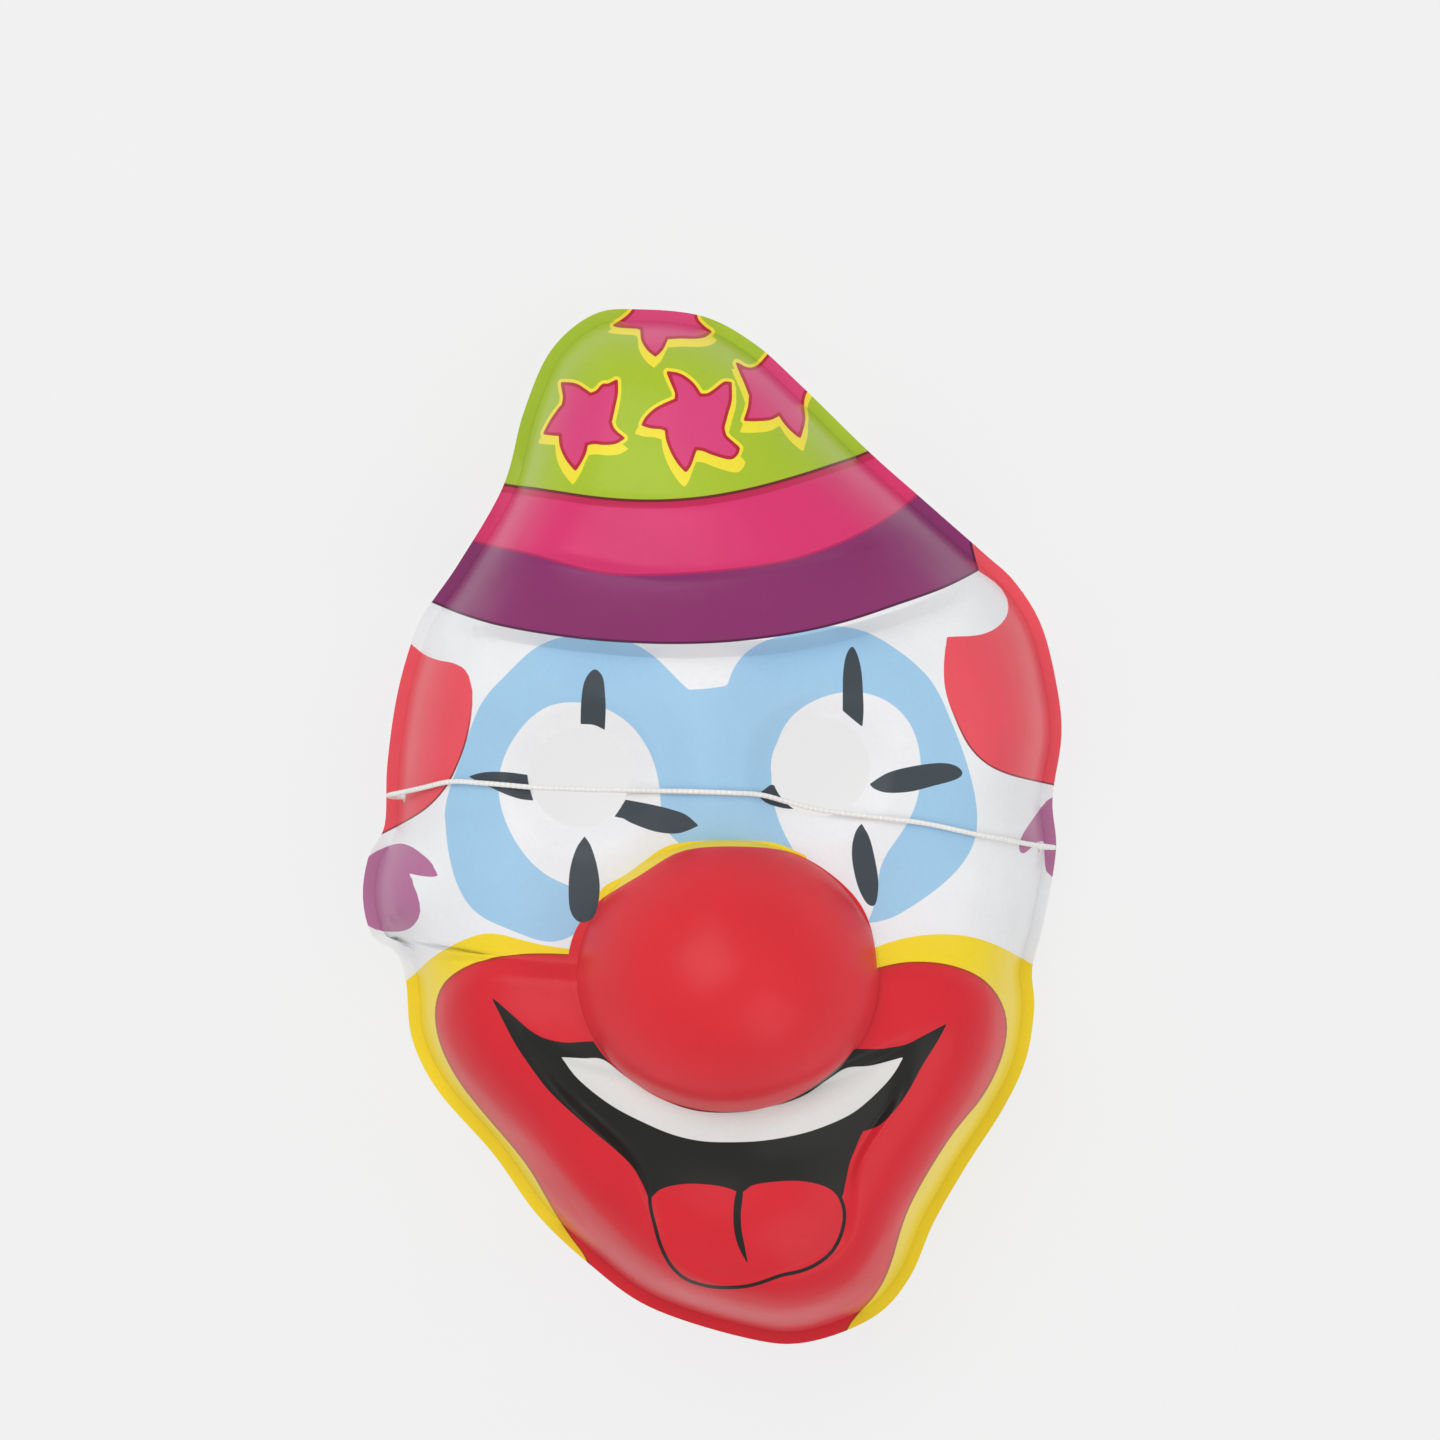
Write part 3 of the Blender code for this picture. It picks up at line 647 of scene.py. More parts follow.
for middle in EYES:
    flat, faces, edge = punch(flat, faces, np.array(middle), EYE_RADIUS)
    print(f"eye hole with {len(edge)} places round it")
sheet = np.column_stack((flat, sheet_height(flat[:, 0], flat[:, 1])))
for side, height in THREAD_HOLES:
    on_side = (sheet[:, 0] * side > SIDE_START)[:, None]
    seen_sideways = np.where(on_side, sheet[:, 1:], 1.0)
    middle = np.array((height, THREAD_HOLE_HEIGHT))
    moved, faces, edge = punch(seen_sideways, faces, middle, THREAD_HOLE_RADIUS)
    below_crest = sheet[edge, 2] - WALL - WALL_CREST * FACE_DEPTH
    climb = (moved[edge, 1] - sheet[edge, 2]) / below_crest
    sheet[edge, 0] += side * SIDE_RUN * climb
    sheet[edge, 1:] = moved[edge]
    print(f"thread hole with {len(edge)} places round it")

# %% [markdown]
# ## The sheet
#
# The places left are numbered again, and the nose's tip is closed with a fan of triangles.

# %% The sheet
tip = np.array((*NOSE_MIDDLE, sheet_height(NOSE_MIDDLE[:1], NOSE_MIDDLE[1:])[0]))
last_ring = np.arange(RAYS) + (len(radii) - 1) * RAYS
cap = fan_faces(last_ring, len(sheet))
sheet = np.vstack((sheet, tip))
used = np.unique(np.append(faces, cap))
renumber = np.zeros(len(sheet), dtype=int)
renumber[used] = np.arange(len(used))
sheet = sheet[used]
open_sheet = new_mesh("open_sheet", sheet, renumber[faces], renumber[cap])

# %% [markdown]
# ## The print, outline by outline
#
# The picture is flat colour in clean shapes, so each shape is drawn as an outline in
# millimetres from the middle of the sheet. A row is one smooth run that ends at the corner where
# the next row starts: that is how a star keeps its points and a lip its curve.

# %% The hat's print
# The hat, from the edge of its brim upwards; the last two runs lie off the sheet.
HAT_PRINT = (
    ((-59.6, 46.9), (-56.9, 45.7), (-50.8, 43), (-44.9, 41.2), (-39.2, 40), (-33, 39),
     (-26.7, 38.1), (-20.8, 37.6), (-15.3, 37.3), (-10.6, 37.1), (-6.3, 37.1), (-1.8, 37.2),
     (2.4, 37.4), (6.9, 37.8), (11.4, 38.4), (15.9, 39), (20.2, 39.9), (24.7, 40.9), (29.2, 42.2),
     (33.7, 43.7), (37.9, 45.3), (42.4, 46.7), (46.9, 48.4), (50.6, 50.2)),  # brim edge
    ((54.5, 52.4), (54.1, 55.3), (52.2, 58.3)),  # brim corner
    ((53.7, 63.6), (38.4, 117.7), (-59.6, 117.7), (-67.7, 54.5)),  # off the sheet
)
# The pink band and all above it.
BAND_PRINT = (
    ((-55.5, 61), (-49, 57.9), (-42.8, 56.7), (-37.3, 55.6), (-30.4, 53.2), (-24.1, 51.6),
     (-19.8, 51), (-15.3, 50.7), (-6.3, 51), (2.4, 51.8), (11.4, 52.8), (17.5, 54.2),
     (24.7, 56.7), (31.8, 60), (37.9, 63.9), (41.6, 67.3)),  # band foot
    ((46.5, 71.6), (38.4, 117.7), (-55.5, 117.7)),  # off the sheet
)
# The green crown.
CROWN_PRINT = (
    ((-51.4, 71.6), (-43.9, 70.1), (-39.4, 69.5), (-32.6, 68.2), (-24.9, 66.8), (-18.4, 66.2),
     (-12.6, 66), (-6.9, 66.2), (0.2, 66.8), (8.8, 68.6), (18.4, 71.3), (26.7, 74.5),
     (31.4, 76.3)),  # crown foot
    ((37.3, 78.9), (34.3, 117.7), (-55.5, 117.7)),  # off the sheet
)

# %% [markdown]
# Four plump stars with bent arms are scattered over the crown. Two of them run off its edge.

# %% The stars
# The star on the left, arm by arm.
STAR_LEFT = (
    ((-30.6, 90.4), (-27.9, 90), (-25.9, 88.8)),  # top left arm
    ((-24.7, 87.9), (-23.3, 88.5), (-22.2, 89.7), (-21, 89.8)),  # top right arm
    ((-19.4, 90.6), (-19.4, 87.9), (-20, 84.9)),  # top right arm down
    ((-20.6, 82.2), (-20.2, 81), (-19.4, 80)),  # lower right arm
    ((-18, 78.9), (-19.6, 78), (-21.8, 77.8), (-23.9, 78)),  # lower right arm back
    ((-25.5, 77.7), (-25.7, 76.3), (-26.5, 74.5)),  # bottom arm
    ((-27.7, 72.6), (-29.4, 74.7), (-30.6, 77.3)),  # bottom arm back
    ((-30.9, 79.8), (-32.2, 79.9)),  # left arm
    ((-34.1, 80.2), (-32.8, 82.6), (-31.4, 84.6)),  # left arm back
    ((-30.3, 85.9), (-30.1, 87.7)),  # top left arm back
)
# The star in the middle, arm by arm.
STAR_MIDDLE = (
    ((-9, 92.3), (-6.5, 91.8), (-4.1, 90.1)),  # top arm
    ((-2.4, 87.7), (-0.8, 87.8), (1, 89), (2.4, 90.2)),  # top right arm
    ((3.7, 90.2), (3.7, 86.7), (3, 84)),  # top right arm down
    ((2.2, 81), (2.7, 79.3), (3.9, 78.1)),  # lower right arm
    ((5.4, 76.9), (4.9, 75.6), (3.5, 74.8), (0.2, 75.7), (-1.8, 76.5)),  # lower right arm back
    ((-3.3, 76.7), (-3.9, 75.1), (-4.5, 73.4)),  # bottom arm
    ((-5.3, 72.2), (-6.6, 73.6), (-8, 75.9), (-9, 78.5)),  # bottom arm back
    ((-9.3, 80.6), (-10.6, 81), (-12.2, 81.1)),  # left arm
    ((-14, 81.6), (-13.3, 82.9), (-11.7, 84.5), (-9.6, 85.7)),  # left arm back
    ((-7.3, 86.7), (-7.3, 88.7), (-8.3, 90.4)),  # top arm back
)
# The star that the hat's right edge cuts, arm by arm.
STAR_RIGHT = (
    ((5.1, 94.5), (6.3, 93.7), (7.8, 93.4), (9.4, 94.1), (11.4, 96.3)),  # top left arm
    ((13.1, 98.5),),  # off the sheet
    ((21.2, 91.2), (19.2, 89.1), (18.5, 86.5), (18.7, 83)),  # right side
    ((17.8, 79.4), (16.1, 80.8), (14.7, 82.4)),  # bottom arm back
    ((13.7, 84), (11.8, 83), (9.2, 82.7)),  # left arm
    ((6.7, 82.7), (7.5, 85.1)),  # left arm back
    ((7.8, 87.7), (6.7, 90.6), (5.9, 92.4)),  # top left arm back
)
# The star that the hat's top cuts, arm by arm.
STAR_TOP = (
    ((-20, 102.4), (-17.5, 102), (-15.5, 102)),  # left arm
    ((-14.4, 101.6), (-14.1, 99.1), (-12.9, 97.1)),  # bottom arm
    ((-11.5, 95.9), (-10.2, 97.3)),  # bottom arm back
    ((-9.2, 99.6), (-6.5, 99.8), (-3.5, 99.8), (-1.6, 100.2)),  # right arm
    ((-0.4, 101.2), (-2, 102.4), (-3.3, 104.2)),  # right arm back
    ((-3.5, 107.9),),  # off the sheet
    ((-14.7, 108.3), (-16.7, 104.9)),  # left arm back
)

# %% [markdown]
# Light blue surrounds both eyes and joins over the bridge of the nose. A white disc lies round
# each eye hole, and four dark dashes cross its edge like rays.

# %% The eyes' print
# The blue round both eyes and over the bridge of the nose.
BLUE_PRINT = (
    ((-54.3, 3.1), (-53.9, 6.3), (-52.6, 9.6), (-51.4, 12.9), (-50.2, 16.1), (-48.8, 21),
     (-46.9, 25.5), (-44.7, 28.2), (-42, 30.4), (-39, 33.9), (-35.7, 36.7), (-31.8, 38.6),
     (-22.8, 39.8), (-15.1, 37.3), (-11.8, 34.9), (-8.6, 31.8), (-6.3, 29.2)),  # left eye top
    ((-4.7, 27.9), (-1, 28)),  # bridge
    ((3.1, 28.7), (3.7, 31.4), (5.5, 34.3), (8, 36.5), (10.6, 37.9), (18, 40.2), (25.7, 41.4),
     (31, 39.8), (34.3, 38.1), (37.1, 36.3), (40.6, 33.7), (44.3, 30.4), (46.3, 26.7),
     (47.9, 22.6), (50.2, 17.5), (52.2, 11.6), (53.4, 6.3), (54.1, 1.4), (53.4, -2.7),
     (51.8, -6.1), (48.6, -10), (44.3, -13.5), (39.6, -16.3), (36.3, -18.6)),  # right eye top
    ((33.5, -19), (18, -19), (-2.4, -27.1), (-22.8, -27.1)),  # under the nose
    ((-27.7, -21.4), (-29.6, -22.6), (-32.6, -23.5), (-35.7, -22.6), (-38.8, -21.6), (-42, -20),
     (-45.5, -19), (-47.7, -17.3), (-50.2, -15.1), (-52.6, -10), (-53.9, -3.7)),  # left eye bottom
)
# The white disc about the left eye, open towards the nose.
LEFT_DISC = (
    ((-10, 1), (-10.4, 4.5), (-10.6, 8.6), (-11.2, 12.6), (-13.5, 17.5), (-16.7, 21.6),
     (-21.4, 24.6), (-26.5, 25.5), (-31, 25.4), (-34.1, 24.5), (-38.6, 21.2), (-42.2, 15.1),
     (-43.7, 10), (-43.2, 4.7), (-41.4, -0.2), (-39, -4.3), (-36.1, -7.8), (-32.8, -10.2),
     (-27.9, -12.4)),  # round the eye
    ((-22, -13.3), (-14.7, -14.9), (-2.4, -10.8)),  # at the nose
    ((-4.9, -4.3), (-6.9, -2.9), (-8.8, -1.4)),  # towards the bridge
)
# The white disc about the right eye, open towards the nose.
RIGHT_DISC = (
    ((18, -7.1), (15.3, -2.7), (13.3, 1.4), (12.2, 5.5), (11.8, 9.6), (12.2, 13.7), (13.3, 18.6),
     (15.1, 21.8), (18.2, 24.7), (22.4, 26.7), (27.3, 27.9), (32.2, 27.4), (36.9, 25.1),
     (40, 21.8), (41.7, 17.7), (42.4, 13.3), (42.3, 9.2), (41.6, 5.3), (40, 1.4), (37.5, -2.2),
     (35.1, -5.3), (33.7, -8), (33.5, -11.8), (33, -15.9)),  # round the eye
    ((31.4, -19.4), (22, -21), (13.9, -12.9)),  # at the nose
)
# Eight dashes, two and two above, beside and below each eye.
DASHES = {
    "left top": (
        ((-26.6, 21), (-26.5, 24.7), (-26.1, 28.4), (-25.3, 30.6), (-24.1, 31.9), (-23.1, 31.8),
         (-22, 30.2), (-21.6, 26.7), (-21.5, 23.5)),  # up
        ((-21.7, 19.8), (-23.9, 20.8)),  # end
    ),
    "left left": (
        ((-49.4, 10.3), (-47.3, 11), (-44.7, 11.3), (-41.2, 11.2)),  # top
        ((-37.4, 10.7), (-37.1, 8.6)),  # end
        ((-36.2, 5.5), (-38.8, 5.8), (-41.6, 6.7), (-44.5, 8)),  # bottom
    ),
    "left right": (
        ((-17.5, 5.7), (-14.7, 5.2), (-11.6, 4.6), (-8.4, 3.8), (-5.3, 2.7)),  # top
        ((-2.7, 0.5), (-4.9, -0.5), (-7.1, -1.1), (-9.8, -1), (-12.6, -0.4), (-16.3, 1),
         (-18.4, 2.1)),  # bottom
        ((-19.9, 2), (-18.6, 3.9)),  # end
    ),
    "left bottom": (
        ((-25.8, -1.7), (-27.5, -4.3), (-28.7, -8.4), (-29, -12.9), (-28.7, -16.5),
         (-27.5, -18.6), (-25.9, -19.1), (-24.1, -18.2), (-23.1, -15.7), (-22.7, -11.8),
         (-23.3, -7.5), (-24.5, -3.7)),  # up
    ),
    "right top": (
        ((26.4, 23.7), (26.4, 27.9), (26.5, 31.6), (27.1, 34.9), (28.3, 36.6), (29.4, 34.9),
         (30.2, 31.4), (30.5, 26.9), (30.6, 23.5)),  # up
        ((30.4, 20.4), (28.4, 22)),  # end
    ),
    "right left": (
        ((9.1, 6.7), (10.6, 7.8), (12, 8.7), (13.3, 8), (15.1, 6.1)),  # top
        ((17.7, 3.9), (15.1, 3.9), (12.4, 4.5), (10.6, 5.3)),  # bottom
    ),
    "right right": (
        ((31.8, 8.8), (35.5, 11.1), (40.4, 12.4), (46.1, 13.1), (49.4, 12.5), (50.7, 11),
         (49.2, 9.7), (44.5, 8.4), (40, 7.3), (35.5, 7.1), (33, 7.8)),  # round
    ),
    "right bottom": (
        ((30.2, 0.9), (31.8, -2), (32.9, -6.3), (33.6, -10.8), (33.3, -14.5), (32.5, -15.8),
         (31, -14.9), (29.4, -11.6), (28.4, -7.1), (28.3, -3.7), (29, -0.8)),  # up
    ),
}

# %% [markdown]
# Red hair bulges out at both temples, and a purple ear shows below it on each side.

# %% The hair and the ears
# The hair left of the forehead.
LEFT_HAIR = (
    ((-64.7, 39.8), (-61.3, 37.5), (-59.6, 35.1), (-56.1, 33.8), (-52.2, 33.6), (-50.1, 32.5),
     (-48.8, 30.2), (-48.3, 26.9), (-48.7, 23.9), (-49.1, 20.2), (-50, 16.6), (-51.4, 13.3),
     (-52.8, 9.8), (-54.1, 8), (-55.7, 5.9), (-57.9, 3.8), (-60.4, 2.2), (-63.2, 0.7),
     (-66.1, -0.8)),  # inner edge
    ((-69.8, -2.7), (-75.9, 17.7)),  # off the sheet
)
# The hair right of the forehead, round the white lobe under the brim.
RIGHT_HAIR = (
    ((47.6, 38.8), (47.1, 35.9), (46.8, 32.4), (46.9, 29), (47.5, 26.1), (48.7, 23.3),
     (50.3, 19.4), (51.9, 16.3), (54.3, 13.7), (57.1, 11.8), (60.6, 10.5), (64.5, 9.6),
     (68.1, 8.9)),  # inner edge
    ((74.1, 7.5), (77.1, 25.9), (71, 48.3), (52.6, 62.6), (50.6, 57.5)),  # off the sheet
    ((54.5, 52.1), (57.7, 50.3), (59.9, 48.1), (60.9, 45.3), (60.2, 42.6), (57.9, 40.3),
     (54.9, 38.9), (51.4, 38.7)),  # white lobe
)
# The left ear.
LEFT_EAR = (
    ((-75.9, -10.8), (-70, -5.9), (-67.5, -4.5), (-65.4, -3.7), (-63.4, -3.4), (-61.2, -4),
     (-59, -5.4), (-56.9, -7.3)),  # top
    ((-55.5, -10), (-57.7, -10), (-60, -9.7)),  # hook
    ((-61.8, -9.3), (-60.9, -11.2), (-59.9, -13.5), (-59.3, -16.1), (-59.5, -18.1), (-60.8, -20),
     (-62.6, -21.1), (-65.5, -21.5), (-68.7, -21.2), (-71.4, -19.6), (-75.9, -16.9)),  # lobe
)
# The sliver of the right ear that shows.
RIGHT_EAR = (
    ((68.5, 5.3), (66.3, 2.7), (64.3, 0.2), (62.8, -2.2), (62.4, -4.4), (63.2, -5.4),
     (64.9, -4.3), (66.5, -3.1)),  # front
    ((67.9, -2.9), (68, -6.1), (68.4, -9.2)),  # tail
    ((70.2, -10.8), (75.1, -4.7), (71, 5.5)),  # off the sheet
)

# %% [markdown]
# The round nose hangs over a wide laughing mouth. A yellow line runs round the lips, and a
# short piece of it lights the nose's upper left.

# %% The nose's print
# The red of the nose.
NOSE_PRINT = (
    ((-29.2, -26.7), (-28.8, -23.1), (-27.3, -19.6), (-24.9, -16.3), (-22, -14), (-18.4, -11.7),
     (-13.5, -9), (-10.4, -6.7), (-7.8, -5), (-4.1, -4), (0, -3.6), (5.7, -3.6), (11.8, -3.9),
     (15.5, -4.6), (18.8, -5.9), (22.4, -8), (26.5, -11.1), (29.8, -14.7), (31.8, -18.2),
     (32.8, -23.1), (33.7, -28.8), (33, -35.3), (30.6, -42.2), (27.3, -46.7), (23.9, -49.6),
     (19.6, -52.9), (15.9, -55), (12.2, -56.3), (6.7, -57.4), (0.2, -57.5), (-5.5, -56.7),
     (-11.6, -54.1), (-17.3, -50.3), (-22, -46.5), (-25.3, -41.4), (-28.2, -33.3)),  # round
)
# The yellow line over the nose's upper left.
NOSE_YELLOW = (
    ((-24.1, -15.9), (-22, -12), (-17.7, -9.6), (-13.7, -6.7), (-10.2, -4.2), (-6.5, -3),
     (-0.4, -2.5), (6.7, -2.5), (12.9, -3.1)),  # top
    ((19.2, -5.7), (15.9, -10.8), (-12.6, -14.9)),  # under the nose
)

# %% [markdown]
# The lips are drawn as yellow, red and black shapes that lie on each other. The teeth are one
# white band under the nose, and the tongue's black line is laid on later, by its depth.

# %% The mouth's print
# The yellow line round the lips, out to the rim.
LIP_YELLOW = (
    ((-66.7, -33.7), (-62.6, -32), (-60.8, -30.1), (-58.5, -27.7), (-55.7, -25.4), (-52.4, -23.7),
     (-49.2, -22.2), (-46.1, -21.2), (-43.2, -21.3), (-39.2, -22.5), (-34.1, -24)),  # left top
    ((-26.9, -24.7), (1.6, -33.3)),  # under the nose
    ((30.6, -25.1), (33, -24.2), (35.5, -23.2), (39.4, -22), (45.5, -21.3), (50, -21.6),
     (54.3, -22.4), (57.7, -23.8), (60.8, -25.4), (63.6, -27.1)),  # right top
    ((67.9, -29.6), (71, -65.9), (34.3, -116.9), (-22.8, -116.9), (-67.7, -65.9)),  # off the sheet
)
# The red of the lips and chin.
LIP_RED = (
    ((-22.8, -26.3), (-29.2, -25.6), (-35.1, -25.5), (-40.8, -25.8), (-45.1, -26.5), (-49, -27.8),
     (-52.2, -29.6), (-54.5, -31.6), (-55.9, -34.3), (-56.5, -38.1), (-55.9, -42.6),
     (-54.1, -47.3), (-51.4, -52.2), (-47.1, -57.5), (-41.6, -63.9), (-38.4, -67.5),
     (-35.9, -71.2), (-33.7, -75.5), (-31.6, -79.8), (-28.8, -84.3), (-25.7, -87.7),
     (-24.1, -90.8)),  # left
    ((-24.9, -96.5), (-6.5, -116.9), (27.1, -116.9)),  # off the sheet
    # right
    ((26.1, -106.7), (27.1, -102.2), (29.6, -99.8), (32.6, -96.5), (35.1, -92.8), (36.8, -87.5),
     (37.9, -82.6), (39.4, -77.7), (42, -72.8), (45.5, -66.9), (49, -61.6), (51.8, -58.3),
     (54.1, -56.3), (56.7, -52), (58.9, -47.3), (60, -42.6), (59.9, -39), (59, -35.9),
     (57.1, -32.8), (54.5, -30.4), (51.2, -28.7), (45.7, -27.2), (39.4, -26.9), (33, -28.4)),
    ((28.2, -30.2), (1.6, -35.3)),  # under the nose
)
# The black of the open mouth.
MOUTH_BLACK = (
    ((-44.7, -34.1), (-42.2, -36.2), (-40, -38.1), (-37.5, -40.3), (-34.3, -42.3), (-29.8, -43.3),
     (-25.9, -43.1)),  # left corner
    # behind the teeth
    ((-22.8, -43), (-20.4, -47.1), (-14.7, -52.6), (-2.4, -56.7), (15.9, -54.7), (23.7, -47.9)),
    # right corner
    ((25.3, -45.5), (27.7, -44.6), (31.4, -44.6), (35.1, -44.5), (39.2, -43.7), (42.8, -41.9)),
    # right corner down
    ((47.5, -39.5), (45.3, -43.5), (42.4, -48.1), (39.8, -53), (36.7, -57.3), (33.7, -60.2)),
    ((30.4, -61.4), (29.2, -64.3), (27.9, -67.5), (27.1, -71.2)),  # right of the tongue
    ((26.3, -75.3), (18, -76.1), (-2.4, -77.1)),  # under the tongue
    # left corner down
    ((-12.6, -75.3), (-14.3, -71.4), (-16.3, -68.1), (-19.4, -65.1), (-23.7, -61.5),
     (-28.6, -57.3), (-33, -53.1), (-36.3, -48.8), (-39.6, -43.9), (-42.2, -39)),
)
# The upper teeth as one white band.
TEETH_WHITE = (
    ((-30.4, -46.3), (-26.1, -46.5), (-22, -46.7), (-17.5, -50.1), (-11.8, -53.9), (-5.5, -56.5),
     (0.2, -57.4), (6.7, -57.2), (12.2, -56.1), (15.9, -55.1), (19.6, -53.4), (23.9, -50.4),
     (27.3, -48.4), (32.2, -48)),  # top
    ((38.6, -46.3), (37.1, -49), (35.1, -51.6), (31.8, -54.9), (28.2, -57.7), (23.3, -60),
     (17.7, -61.8), (10.2, -63.1), (2.9, -63.4), (-2.7, -63.1), (-8.2, -61.8), (-13.7, -59.5),
     (-19.4, -56.6), (-24.1, -53.3), (-27.7, -50)),  # bottom
)
# The tongue: two lobes at its top, round at its tip.
TONGUE_RED = (
    ((-12.6, -74.5), (-10.2, -72.5), (-5.3, -71.5), (0, -71.7), (3.5, -72.4)),  # left lobe
    ((5.9, -73.4), (8, -71.8), (12.2, -71.1), (17.1, -70.9), (21.4, -71.6), (24.3, -72.9),
     (26.1, -75.1), (26.8, -78.5), (26.1, -82.2), (24.3, -85.7), (21.2, -88.2), (18, -89.6),
     (13.9, -90.5), (10, -91.9), (6.5, -92.8), (1.6, -93.1), (-2.4, -92.5), (-5.7, -91.2),
     (-8.4, -88.5), (-10.4, -84.5), (-11.6, -80.2), (-12.4, -76.9)),  # right lobe
)
# The line down the tongue's middle, open at its top, so both runs are given whole.
TONGUE_FOLD = (
    ((5.1, -72.4), (4.4, -76.1), (4.4, -80.6), (5.3, -84.5), (7.3, -88.3)),  # left side
    ((7.3, -88.3), (6.6, -84.5), (5.9, -80.6), (5.9, -76.1), (6.7, -72.4)),  # right side
)

# %% [markdown]
# ## From outlines to numbers on the sheet
#
# Every place of the sheet gets, for each ink, its depth inside that ink's outline, in
# millimetres. Colouring the faces themselves would give ragged edges. A distance changes
# evenly across a face, so the line where it passes 0 is clean, apart from a little waviness
# where the wall is steep.

# %% Depths for every ink
REACH = 6.0
x_mm, y_mm = sheet[:, 0] * 1000, sheet[:, 1] * 1000


def joined(runs):
    """Each run with the corner added at which the next one starts."""
    following = (*runs[1:], runs[0])
    return [np.array((*run, after[0]), dtype=float) for run, after in zip(runs, following)]


def through(runs):
    """Joined runs made smooth, except those of two places, as one closed ring."""
    return np.vstack([spline(run, 5 if len(run) > 2 else 1)[:-1] for run in runs])


def outline(runs):
    """The ring of an outline just as it was drawn."""
    return through(joined(runs))


def calm(runs):
    """The outline of a big shape, each place moved half way to the middle of its neighbours,
    which takes out the small waves of a drawn line. Corners stay."""
    runs = joined(runs)
    for run in runs:
        run[1:-1] = 0.5 * run[1:-1] + 0.25 * (run[:-2] + run[2:])
    return through(runs)


def depth_in(ring):
    """Depth inside a ring in mm, worked out only for places within reach of its box."""
    low, high = ring.min(axis=0) - REACH, ring.max(axis=0) + REACH
    near = (x_mm > low[0]) & (x_mm < high[0]) & (y_mm > low[1]) & (y_mm < high[1])
    depth = np.full(len(sheet), -REACH)
    depth[near] = inside_depth(x_mm[near], y_mm[near], ring)
    return depth


def depth_in_any(*rings):
    """Depth inside the nearest of several rings."""
    return np.max([depth_in(ring) for ring in rings], axis=0)


# %% The inks on the sheet
inks = {
    "blue": depth_in(calm(BLUE_PRINT)),
    "disc": depth_in_any(calm(LEFT_DISC), calm(RIGHT_DISC)),
    "hair": depth_in_any(calm(LEFT_HAIR), calm(RIGHT_HAIR)),
    "ear": depth_in_any(outline(LEFT_EAR), outline(RIGHT_EAR)),
    "lip_yellow": depth_in(calm(LIP_YELLOW)),
    "lip_red": depth_in(calm(LIP_RED)),
    "mouth": depth_in(outline(MOUTH_BLACK)),
    "tongue": depth_in(outline(TONGUE_RED)),
    "teeth": depth_in(outline(TEETH_WHITE)),
    "nose_yellow": depth_in(outline(NOSE_YELLOW)),
    "nose": depth_in(calm(NOSE_PRINT)),
    "hat": depth_in(calm(HAT_PRINT)),
    "band": depth_in(calm(BAND_PRINT)),
    "crown": depth_in(calm(CROWN_PRINT)),
}
for name, depth in inks.items():
    layer = open_sheet.data.attributes.new(name, "FLOAT", "POINT")
    layer.data.foreach_set("value", depth.astype(np.float32))
print("places inked:", {name: int((depth > 0).sum()) for name, depth in inks.items()})

# %% [markdown]
# The stars, the dashes, the fold of the tongue and the tips of mouth and teeth are finer than
# the grid, so they aren't kept on the places. Each is told by how far it reaches from its own
# middle in every direction. That is one curve, which the material looks up by the direction of a
# place, and it is sharp at any size. Behind each star lies a bigger yellow one that has slipped
# down, so it shows as a thick yellow edge below the star and a thin one above.

# %% The reach of stars and dashes
TURNS = 240
FARTHEST = 16.0
REACH_STEP = 0.02
STAR_MIDDLES = ((-25.5, 82.2), (-4.1, 82.6), (12.9, 88.7), (-10.4, 101.8))
FOLD_MIDDLE = (5.2, -80.4)
YELLOW_RIM = 0.95
STAR_GROWN = 0.3
PINK_GROWN = -0.38
YELLOW_SCALE = 1.16
YELLOW_SLIP = (-0.1, -1.7)


def reaches(ring, middle, *grown):
    """Reach of the ring, grown by each amount, in every direction: the steps inside it, counted
    along each ray from the middle."""
    angle = np.linspace(-math.pi, math.pi, TURNS + 1)
    away = np.arange(0.0, FARTHEST, REACH_STEP)[:, None]
    depth = inside_depth(middle[0] + away * np.cos(angle), middle[1] + away * np.sin(angle), ring)
    twice = (np.diff(depth > 0.0, axis=0).sum(axis=0) > 1).sum()
    print(f"shape at {middle[0]:.1f}, {middle[1]:.1f}: {twice} rays cross its edge more than once")
    return [(depth > -amount).sum(axis=0) * REACH_STEP for amount in grown]


small = {"star_rim": [], "star": [], "star_pink": [], "star_yellow": [], "dash": []}
for star, middle in zip((STAR_LEFT, STAR_MIDDLE, STAR_RIGHT, STAR_TOP), STAR_MIDDLES):
    rim_reach, line_reach, pink_reach, reach = reaches(
        outline(star), middle, YELLOW_RIM, STAR_GROWN, PINK_GROWN, 0.0
    )
    small["star_rim"].append((middle, rim_reach))
    small["star"].append((middle, line_reach))
    small["star_pink"].append((middle, pink_reach))
    slipped = (middle[0] + YELLOW_SLIP[0], middle[1] + YELLOW_SLIP[1])
    small["star_yellow"].append((slipped, reach * YELLOW_SCALE))
for dash in DASHES.values():
    ring = outline(dash)
    middle = ((ring.min(axis=0) + ring.max(axis=0)) / 2).tolist()
    small["dash"].append((middle, reaches(ring, middle, 0.0)[0]))
small["fold"] = [(FOLD_MIDDLE, reaches(through(TONGUE_FOLD), FOLD_MIDDLE, 0.0)[0])]


def tip(middle, runs, corner, out, back):
    """A pointed end of a big shape: some places out from a corner, across, and some back to it."""
    ends = joined(runs)
    away, home = ends[corner][:out], ends[corner - 1][-back:]
    return middle, reaches(through((away, (away[-1], home[0]), home)), middle, 0.0)[0]


